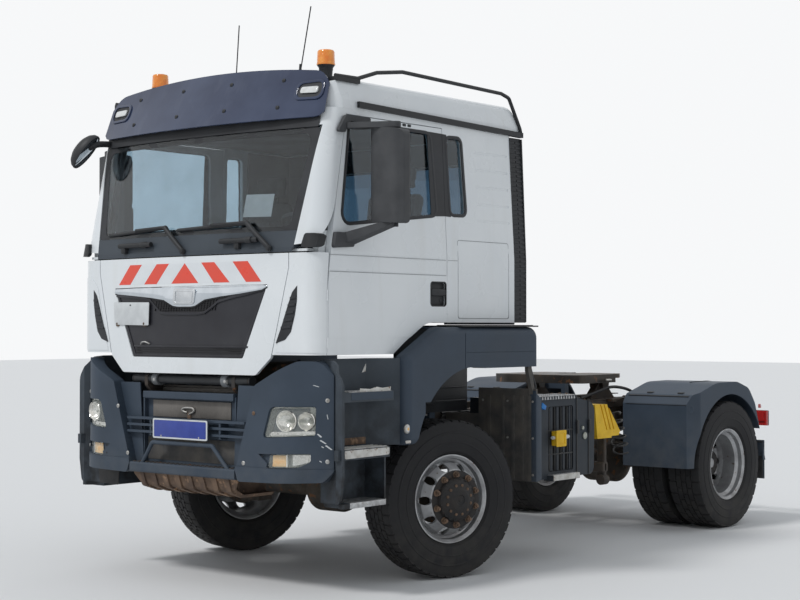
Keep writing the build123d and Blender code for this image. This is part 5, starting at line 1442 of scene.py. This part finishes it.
def buildPlate():
    y = -1500
    back = plate(softCorners([(-256, 962, 10), (256, 962, 10), (256, 1084, 10), (-256, 1084, 10)]), "y", y - 1.6,
                 y + 2, 0.5)
    edge = ringPlate(softCorners([(-260, 958, 12), (260, 958, 12), (260, 1088, 12), (-260, 1088, 12)]),
                     softCorners([(-248, 968, 8), (248, 968, 8), (248, 1078, 8), (-248, 1078, 8)]), "y", y - 2.6,
                     y + 2, 0.5)
    giveFinish(back, "barePlate", "plateBlue", "chassis")
    giveFinish(edge, "plateEdge", "cardWhite", "chassis")
    studs = [screw((x, y - 1.5, 975), "y", 6, 2, 10) for x in (-180, 180)]
    giveFinish(joinPieces(studs), "plateStuds", "dullSteel", "chassis")
    hook = tube([(-40, -1400, 1128), (-76, -1409, 1134), (-70, -1413, 1156), (-20, -1413, 1161), (34, -1410, 1158),
                 (38, -1409, 1134), (-6, -1407, 1120), (-20, -1400, 1112)], 8, 10)
    lug = brick(-30, 2, -1408, -1394, 1082, 1126, 3)
    giveFinish(hook, "towLoop", "dullSteel", "chassis")
    giveFinish(lug, "towLug", "skidRust", "chassis")
    fittings = []
    for x in (345, -330):
        fittings.append(brick(x - 16, x + 16, -1424, -1412, 1322, 1352, 4))
        fittings.append(turned([(0, 0), (0, 13), (-8, 13), (-12, 9), (-12, 0)], (x, -1423, 1340), "y", 16))
    giveFinish(joinPieces(fittings), "tubeFittings", "dullSteel", "chassis")
    ends = [turned([(0, 0), (0, 33), (9, 33), (12, 28), (12, 0)], (548, -1390, 1345), "x", 28)]
    giveFinish(withMirror(joinPieces(ends)), "tubeEnds", "blackTrim", "chassis")
    core = [brick(-392, 392, -1288, -1279, 870 + k * 40, 872 + k * 40 + 22, 2) for k in range(6)]
    giveFinish(joinPieces(core), "coolerRows", "radiatorAlloy", "chassis")
    shield = brick(-372, 372, -1296, -1290, 1128, 1236, 3)
    top = brick(-390, 390, -1300, -1284, 1258, 1288, 5)
    giveFinish(joinPieces([shield, top]), "coolerShield", "radiatorAlloy", "chassis")
    panel = brick(-372, 372, -1400, -1394, 1092, 1204, 4)
    giveFinish(panel, "coolerPanel", "radiatorAlloy", "chassis")
    giveFinish(brick(-426, 426, -1396, -1389, 806, 956, 4), "lowerPanel", "splashDust", "chassis")
    sleeve = turned([(-540, 0), (-540, 32), (540, 32), (540, 0)], (0, -1390, 1345), "x", 28)
    giveFinish(sleeve, "tubeSleeve", "blackTrim", "chassis")
    teeth = []
    for k in range(24):
        for row in (0, 1):
            x = -470 + k * 40 + row * 20
            teeth.append(turned([(0, 4), (0, 10), (5, 9), (5, 5)], (x, -1475 + row * 36, 790), "z", 8))
    giveFinish(joinPieces(teeth), "stepTeeth", "frameSteel", "chassis")
    print("plate, hook and step ready")


# ---- entry steps and their worn treads
def gratedTread(x0, x1, y0, y1, z, look, name, thick=3, teeth=True):
    base = brick(x0, x1, y0, y1, z, z + thick, 1.2)
    parts = [base]
    if teeth:
        count = int((y1 - y0) / 26)
        tooth = turned([(0, 6), (0, 11), (4.5, 10), (4.5, 7)], (x0 + 20, y0 + 16, z + thick - 0.5), "z", 8)
        rows = max(1, int((x1 - x0) / 34))
        for row in range(rows):
            for k in range(count):
                parts.append(shifted(tooth, row * (x1 - x0 - 36) / max(1, rows - 1),
                                     k * (y1 - y0 - 30) / max(1, count - 1)))
        bpy.data.objects.remove(tooth)
    return giveFinish(joinPieces(parts), name, look, "chassis")


def buildSteps():
    for side, sign in (("left", 1), ("right", -1)):
        made = []
        made.append(gratedTread(1090, 1234, -1225, -820, 1284, "treadAlloy", f"stepTopGrate_{side}"))
        edge = plate([(1239.5, 1238), (1239.5, 1282), (1238, 1283), (1238, 1237)], "y", -1215, -815)
        made.append(giveFinish(edge, f"stepTopEdge_{side}", "bumperGrey", "chassis"))
        made.append(gratedTread(1085, 1234, -1270, -855, 934, "wornWhite", f"stepMiddleGrate_{side}"))
        face = plate(softCorners([(-1276, 878, 14), (-852, 884, 14), (-852, 930, 8), (-1276, 930, 8)], 3), "x",
                     1236, 1240.5, 1.5)
        made.append(giveFinish(face, f"stepMiddleFace_{side}", "wornWhite", "chassis"))
        low = [brick(1070, 1240, -1225, -890, 571, 575, 1), brick(1233, 1242, -1228, -888, 571, 606, 2),
               brick(1056, 1064, -1220, -890, 571, 606, 2)]
        bars = [plate([(1064, y), (1234, y + 18), (1234, y + 32), (1064, y + 14)], "z", 598, 607, 1.5)
                for y in range(-1215, -905, 34)]
        made.append(giveFinish(joinPieces(low + bars), f"stepLowGrate_{side}", "treadAlloy", "chassis"))
        scraps = [plate([(-1120, 1287), (-830, 1287), (-826, 1312), (-905, 1306), (-960, 1314), (-1020, 1302),
                         (-1118, 1308)], "x", 1224, 1230, 1),
                  plate([(-915, 1400), (-880, 1406), (-872, 1462), (-888, 1440)], "x", 1061, 1063)]
        made.append(giveFinish(joinPieces(scraps), f"stepScraps_{side}", "wornWhite", "chassis"))
        dirt = brick(1060.5, 1064, -1250, -880, 945, 990, 1)
        made.append(giveFinish(dirt, f"stepDirt_{side}", "skidRust", "chassis"))
        if sign < 0:
            for piece in made:
                placed(piece, Matrix.Diagonal((-1, 1, 1, 1)))
    print("steps ready")


# ---- wheel arches, splash panels and battery box
def buildArchParts():
    mat = plate(softCorners([(700, -100, 14), (1262 - 16, -100, 10), (1246, 790, 10), (700, 790, 14)], 3), "z",
                1690, 1700, 3)
    ridges = [brick(1000 + k * 34, 1012 + k * 34, -70, 760, 1700, 1704, 1.5) for k in range(7)]
    giveFinish(withMirror(joinPieces([mat] + ridges)), "lidMat", "lidMat", "chassis")
    wall = [brick(640, 646, -600, 735, 1080, 1415, 3), brick(646, 662, -560, 700, 1150, 1166, 5),
            brick(646, 662, -560, 700, 1250, 1262, 5), brick(646, 690, -160, -60, 1120, 1330, 12),
            brick(646, 676, 220, 330, 1140, 1380, 8)]
    giveFinish(withMirror(joinPieces(wall)), "wellWall", "blackTrim", "chassis")
    ring = turned([(0, 16), (0, 31), (7, 29), (10, 24), (10, 16)], (1235, -674, 1036), "x", 28)
    giveFinish(withMirror(ring), "sideLampRing", "dullSteel", "chassis")
    lens = turned([(2, 0), (2, 22), (9, 20), (13, 12), (14, 0)], (1235, -674, 1036), "x", 28)
    giveFinish(withMirror(lens), "sideLampLens", "markerWhite", "chassis")
    heart = turned([(13, 0), (13, 11), (15.5, 7), (16, 0)], (1235, -674, 1036), "x", 16)
    giveFinish(withMirror(heart), "sideLampHeart", "lampAmber", "chassis")
    holder = plate(softCorners([(-700, 944, 6), (-652, 944, 6), (-648, 962, 6), (-704, 962, 6)], 3), "x", 1246, 1249.5)
    giveFinish(withMirror(holder), "archChip", "wornWhite", "chassis")
    strut = tube([(1215, 716, 1430), (1222, 742, 1330), (1228, 780, 1262), (1222, 748, 1236), (1212, 742, 1230)],
                 9, 10)
    giveFinish(withMirror(strut), "archStay", "blackTrim", "chassis")
    flange = [plate([(738, 592), (802, 602), (802, 1180), (738, 1218)], "x", 1255, 1258.5, 1),
              brick(1206, 1257, 736, 741, 594, 1238, 2)]
    giveFinish(withMirror(joinPieces(flange)), "splashFlange", "bumperGrey", "chassis")
    bolts = [screw((x, 733, z), "y", 9, 5, 10) for x in (790, 1010, 1230) for z in (640, 900, 1160)]
    giveFinish(withMirror(joinPieces(bolts)), "splashBolts", "dullSteel", "chassis")
    print("arch parts ready")


def buildBatteryParts():
    parts = [brick(1158, 1164, 1004, 1322, 640, 1112, 1)]
    for y in (1020, 1090, 1170, 1250, 1306):
        parts.append(brick(1164, 1176, y - 5, y + 5, 645, 1106, 2))
    cross = [brick(1166, 1178, 1006, 1320, z, z + 10, 2) for z in (760, 930)]
    giveFinish(joinPieces(parts + cross), "boxRecess", "blackTrim", "chassis")
    gratedTread(1000, 1186, 830, 1345, 1186, "treadAlloy", "boxTopGrate", 4)
    teeth = [plate([(y, 1163), (y + 20, 1163), (y + 14, 1185), (y + 4, 1185)], "x", 1185, 1192, 1)
             for y in range(836, 1330, 34)]
    giveFinish(joinPieces(teeth), "boxTopTeeth", "treadAlloy", "chassis")
    clip = plate(softCorners([(880, 1108, 6), (930, 1092, 6), (944, 1120, 6), (894, 1148, 6)], 3), "x", 1180, 1206, 4)
    giveFinish(clip, "boxClip", "clipBlue", "chassis")
    switch = brick(1182, 1230, 1034, 1150, 828, 934, 7, 3)
    lid = ringPlate(softCorners([(1028, 822, 10), (1156, 822, 10), (1156, 940, 10), (1028, 940, 10)]),
                    softCorners([(1046, 842, 6), (1138, 842, 6), (1138, 920, 6), (1046, 920, 6)]), "x", 1226, 1234, 2)
    giveFinish(joinPieces([switch, lid]), "switchBox", "chockYellow", "chassis")
    key = turned([(0, 0), (0, 17), (60, 15), (74, 10), (74, 0)], (1206, 1152, 888), "y", 18)
    plug = turned([(-26, 0), (-26, 11), (0, 13), (0, 0)], (1206, 1034, 888), "y", 14)
    giveFinish(joinPieces([key, plug]), "switchKey", "cardWhite", "chassis")
    gratedTread(1150, 1236, 990, 1318, 616, "treadAlloy", "boxLowGrate", 3)
    lowEdge = brick(1234, 1241, 984, 1322, 580, 622, 3)
    giveFinish(lowEdge, "boxLowEdge", "wornWhite", "chassis")
    bands = [plate([(1360, 595), (1372, 595), (1372, 1176), (1360, 1176)], "x", 1180, 1186, 2),
             plate([(1520, 595), (1532, 595), (1532, 1150), (1520, 1150)], "x", 1180, 1186, 2)]
    latches = [brick(1184, 1198, 1352, 1380, 900, 1000, 4), brick(1184, 1198, 1512, 1540, 900, 1000, 4)]
    giveFinish(joinPieces(bands + latches), "boxBands", "blackTrim", "chassis")
    caps = [turned([(0, 0), (0, 26), (8, 26), (12, 20), (12, 0)], (1182, 1470, 880), "x", 22),
            turned([(0, 0), (0, 14), (10, 14), (12, 10), (12, 0)], (1182, 1440, 940), "x", 18)]
    giveFinish(joinPieces(caps), "boxCaps", "lampBowl", "chassis")
    print("battery box ready")


# ---- lines and fittings between the cab and the rear wheels
def helix(start, end, radius, turns, points=14):
    axis = Vector(end) - Vector(start)
    side = axis.cross(Vector((0, 0, 1))).normalized()
    up = side.cross(axis).normalized()
    path = []
    for k in range(turns * points + 1):
        angle = math.tau * k / points
        path.append(tuple(Vector(start) + axis * (k / (turns * points)) + side * (radius * math.cos(angle))
                          + up * (radius * math.sin(angle))))
    return path


def buildLines():
    # Clipped air and cable lines along the left rail, and the chock's hanger.
    lines = [tube([(430, 700, 1010 + k * 22), (432, 1200, 1012 + k * 22), (434, 1700, 1004 + k * 20),
                   (450, 2150, 1010 + k * 16), (440, 2600, 1030 + k * 14)], 9, 8) for k in range(3)]
    clips = [brick(400, 446, y, y + 24, 992, 1076, 4) for y in (900, 1300, 1700, 2100, 2480)]
    giveFinish(joinPieces(lines + clips), "railLines", "hoseBlack", "chassis")
    coils = [tube(helix((1000, 2150, 1010), (1000, 2280, 700), 62, 5), 7, 8)]
    giveFinish(joinPieces(coils), "coiledLine", "hoseBlack", "chassis")
    stem = [brick(940, 1010, 2010, 2050, 470, 880, 12, 3), brick(905, 1010, 1995, 2070, 560, 640, 14, 3),
            turned([(-40, 0), (-40, 40), (40, 40), (40, 0)], (985, 2030, 500), "y", 24, 6),
            brick(430, 960, 2020, 2045, 860, 900, 6)]
    giveFinish(joinPieces(stem), "supportHanger", "frameSteel", "chassis")
    print("lines ready")


# ---- rear: mudguards, lamps, flaps, fifth wheel and springs
def buildRear():
    y = 3600
    latches = []
    for x in (800, 1090):
        latches.append(brick(x - 26, x + 26, y - 560, y - 500, 1122, 1150, 5))
        latches.append(tube([(x - 14, y - 566, 1110), (x, y - 574, 1124), (x + 14, y - 566, 1110)], 6, 8))
    hinge = tube([(620, y - 594, 1118), (1190, y - 594, 1118)], 7, 8, False)
    line = brick(620, 1195, y - 643.5, y - 639, 1046, 1051, 1)
    giveFinish(withMirror(joinPieces(latches + [hinge, line])), "guardLatches", "blackTrim", "chassis")
    cap = turned([(0, 0), (0, 33), (5, 33), (8, 29), (6, 24), (6, 0)], (1206, y - 600, 1013), "x", 26)
    cap = placed(cap, turnAbout((1206, y - 600, 1013), -32, "Z"))
    giveFinish(withMirror(cap), "guardCap", "bumperGrey", "chassis")
    seams = []
    for x in (1000,):
        points = [(x, y - 240, 1223), (x, y - 60, 1228), (x, y + 120, 1228), (x, y + 250, 1200)]
        seams.append(tube(points, 3.5, 6))
    giveFinish(withMirror(joinPieces(seams)), "guardSeam", "blackTrim", "chassis")
    flap = brick(624, 1236, y + 606, y + 614, 372, 690, 2)
    ribs = [brick(640 + k * 60, 646 + k * 60, y + 614, y + 619, 385, 680, 1) for k in range(10)]
    giveFinish(withMirror(joinPieces([flap] + ribs)), "rearFlap", "hoseBlack", "chassis")
    lenses, frames = [], []
    for x0, x1 in ((886, 980), (988, 1086), (1094, 1194)):
        lenses.append(brick(x0, x1, 4392, 4400, 828, 942, 4, 2))
    frames.append(ringPlate(softCorners([(878, 818, 10), (1202, 818, 10), (1202, 952, 10), (878, 952, 10)]),
                            softCorners([(888, 828, 6), (1192, 828, 6), (1192, 942, 6), (888, 942, 6)]), "y",
                            4386, 4397, 2))
    amber = lenses.pop()
    giveFinish(withMirror(joinPieces(lenses)), "tailLenses", "tailRed", "chassis")
    giveFinish(withMirror(amber), "tailAmber", "lampAmber", "chassis")
    giveFinish(withMirror(joinPieces(frames)), "tailFrames", "blackTrim", "chassis")
    side = plate(softCorners([(4120, 985, 8), (4170, 985, 8), (4156, 1020, 8), (4118, 1020, 8)], 3), "x", 1240, 1247,
                 2)
    giveFinish(withMirror(side), "guardMarker", "tailRed", "chassis")
    beam = [brick(-860, 860, 4352, 4392, 905, 925, 3)]
    plate2 = brick(-260, 260, 4388, 4394, 820, 935, 2)
    giveFinish(joinPieces(beam + [plate2]), "tailBeam", "frameSteel", "chassis")
    print("rear ready")


def buildCoupling():
    y = 3000
    ring = turned([(1288, 40), (1288, 70), (1290.0, 70), (1290.0, 40)], (0, y, 0), "z", 36)
    wear = [brick(-330, -250, y - 430, y + 60, 1286, 1289.8, 1), brick(250, 330, y - 430, y + 60, 1286, 1289.8, 1)]
    giveFinish(joinPieces([ring] + wear), "couplingWear", "dullSteel", "fifth_wheel")
    lever = tube([(200, y - 100, 1244), (420, y - 100, 1244), (500, y - 80, 1242)], 11, 10)
    grip = tube([(500, y - 80, 1242), (520, y - 120, 1244), (500, y - 150, 1242), (480, y - 120, 1240),
                 (492, y - 90, 1242)], 7, 8)
    giveFinish(joinPieces([lever, grip]), "couplingLever", "dullSteel", "fifth_wheel")
    bolts = [hexBoltUp((x, y + dy, 1084), 15, 11) for x in (340, 418) for dy in (-500, -380, 380, 500)]
    giveFinish(withMirror(joinPieces(bolts)), "mountBolts", "nutRust", "chassis")
    angle = [brick(402, 446, y - 540, y + 540, 1012, 1068, 3), brick(446, 520, y - 70, y + 70, 1060, 1084, 4)]
    giveFinish(withMirror(joinPieces(angle)), "mountAngles", "frameSteel", "chassis")
    line = tube([(420, y - 420, 1100), (450, y - 200, 1150), (470, y - 40, 1190), (520, y + 120, 1170),
                 (540, y + 240, 1120), (500, y + 330, 1085)], 13, 10)
    giveFinish(line, "greaseLine", "hoseBlack", "chassis")
    print("coupling ready")


def hexBoltUp(centre, across, length):
    corners = [(centre[0] + across * math.cos(k * math.tau / 6), centre[1] + across * math.sin(k * math.tau / 6))
               for k in range(6)]
    head = plate(corners, "z", centre[2], centre[2] + length, 1.2)
    washer = turned([(0, 0), (0, across * 1.3), (3, across * 1.3), (3, 0)], centre, "z", 14)
    return joinPieces([head, washer])


def buildSprings():
    parts = []
    for x, y, z, half, rise in ((455, 0, 660, 720, 90), (470, 3600, 680, 670, 80)):
        for k in range(3):
            reach = half * (0.92 - 0.2 * k)
            low = z - 4 - k * 15
            points = [(y - reach, low + rise * 0.62 - k * 14), (y - reach / 2, low + rise * 0.2), (y, low),
                      (y + reach / 2, low + rise * 0.2), (y + reach, low + rise * 0.62 - k * 14)]
            under = [(v, w - 12) for v, w in reversed(points)]
            parts.append(plate(points + under, "x", x - 42, x + 42, 2))
        for dy in (-70, 70):
            parts.append(tube([(x - 52, y + dy, z - 60), (x - 52, y + dy, z + 60), (x, y + dy, z + 66),
                               (x + 52, y + dy, z + 60), (x + 52, y + dy, z - 60)], 9, 8))
    giveFinish(withMirror(joinPieces(parts)), "springLeaves", "axleIron", "chassis")
    dampers = []
    for y, lean in ((-260, 60), (3320, -60)):
        dampers.append(turned([(0, 0), (0, 34), (190, 34), (190, 0)], (520, y, 560), "z", 20, 4))
        dampers.append(turned([(190, 0), (190, 42), (360, 42), (360, 0)], (520, y, 560), "z", 20, 4))
    giveFinish(withMirror(joinPieces(dampers)), "dampers", "blackTrim", "chassis")
    print("springs ready")


def buildUnderFront():
    # Black flap under the right bumper corner, and the bolts of the skid plate.
    flap = plate(softCorners([(-960, 610, 10), (-760, 606, 10), (-752, 730, 6), (-968, 730, 6)], 3), "y", -1372, -1364,
                 2)
    giveFinish(flap, "cornerFlap", "hoseBlack", "chassis")
    bolts = [screw((x, -1444, 700), "y", 9, 5, 10) for x in (-300, 0, 300)]
    giveFinish(joinPieces(bolts), "skidBolts", "nutRust", "chassis")
    print("front underside ready")


buildStudio()
paintNodes()
buildTyres()
buildHubs()
buildStripes()
buildBrightBar()
buildGrilleParts()
buildScreenParts()
buildVisorParts()
buildDoorParts()
buildMirrors()
buildCapMirror()
buildSideFlaps()
buildInterior()
buildSeats()
buildWheelRim()
buildLamps()
buildBumperParts()
buildPlate()
buildSteps()
buildArchParts()
buildBatteryParts()
buildLines()
buildRear()
buildCoupling()
buildSprings()
buildUnderFront()
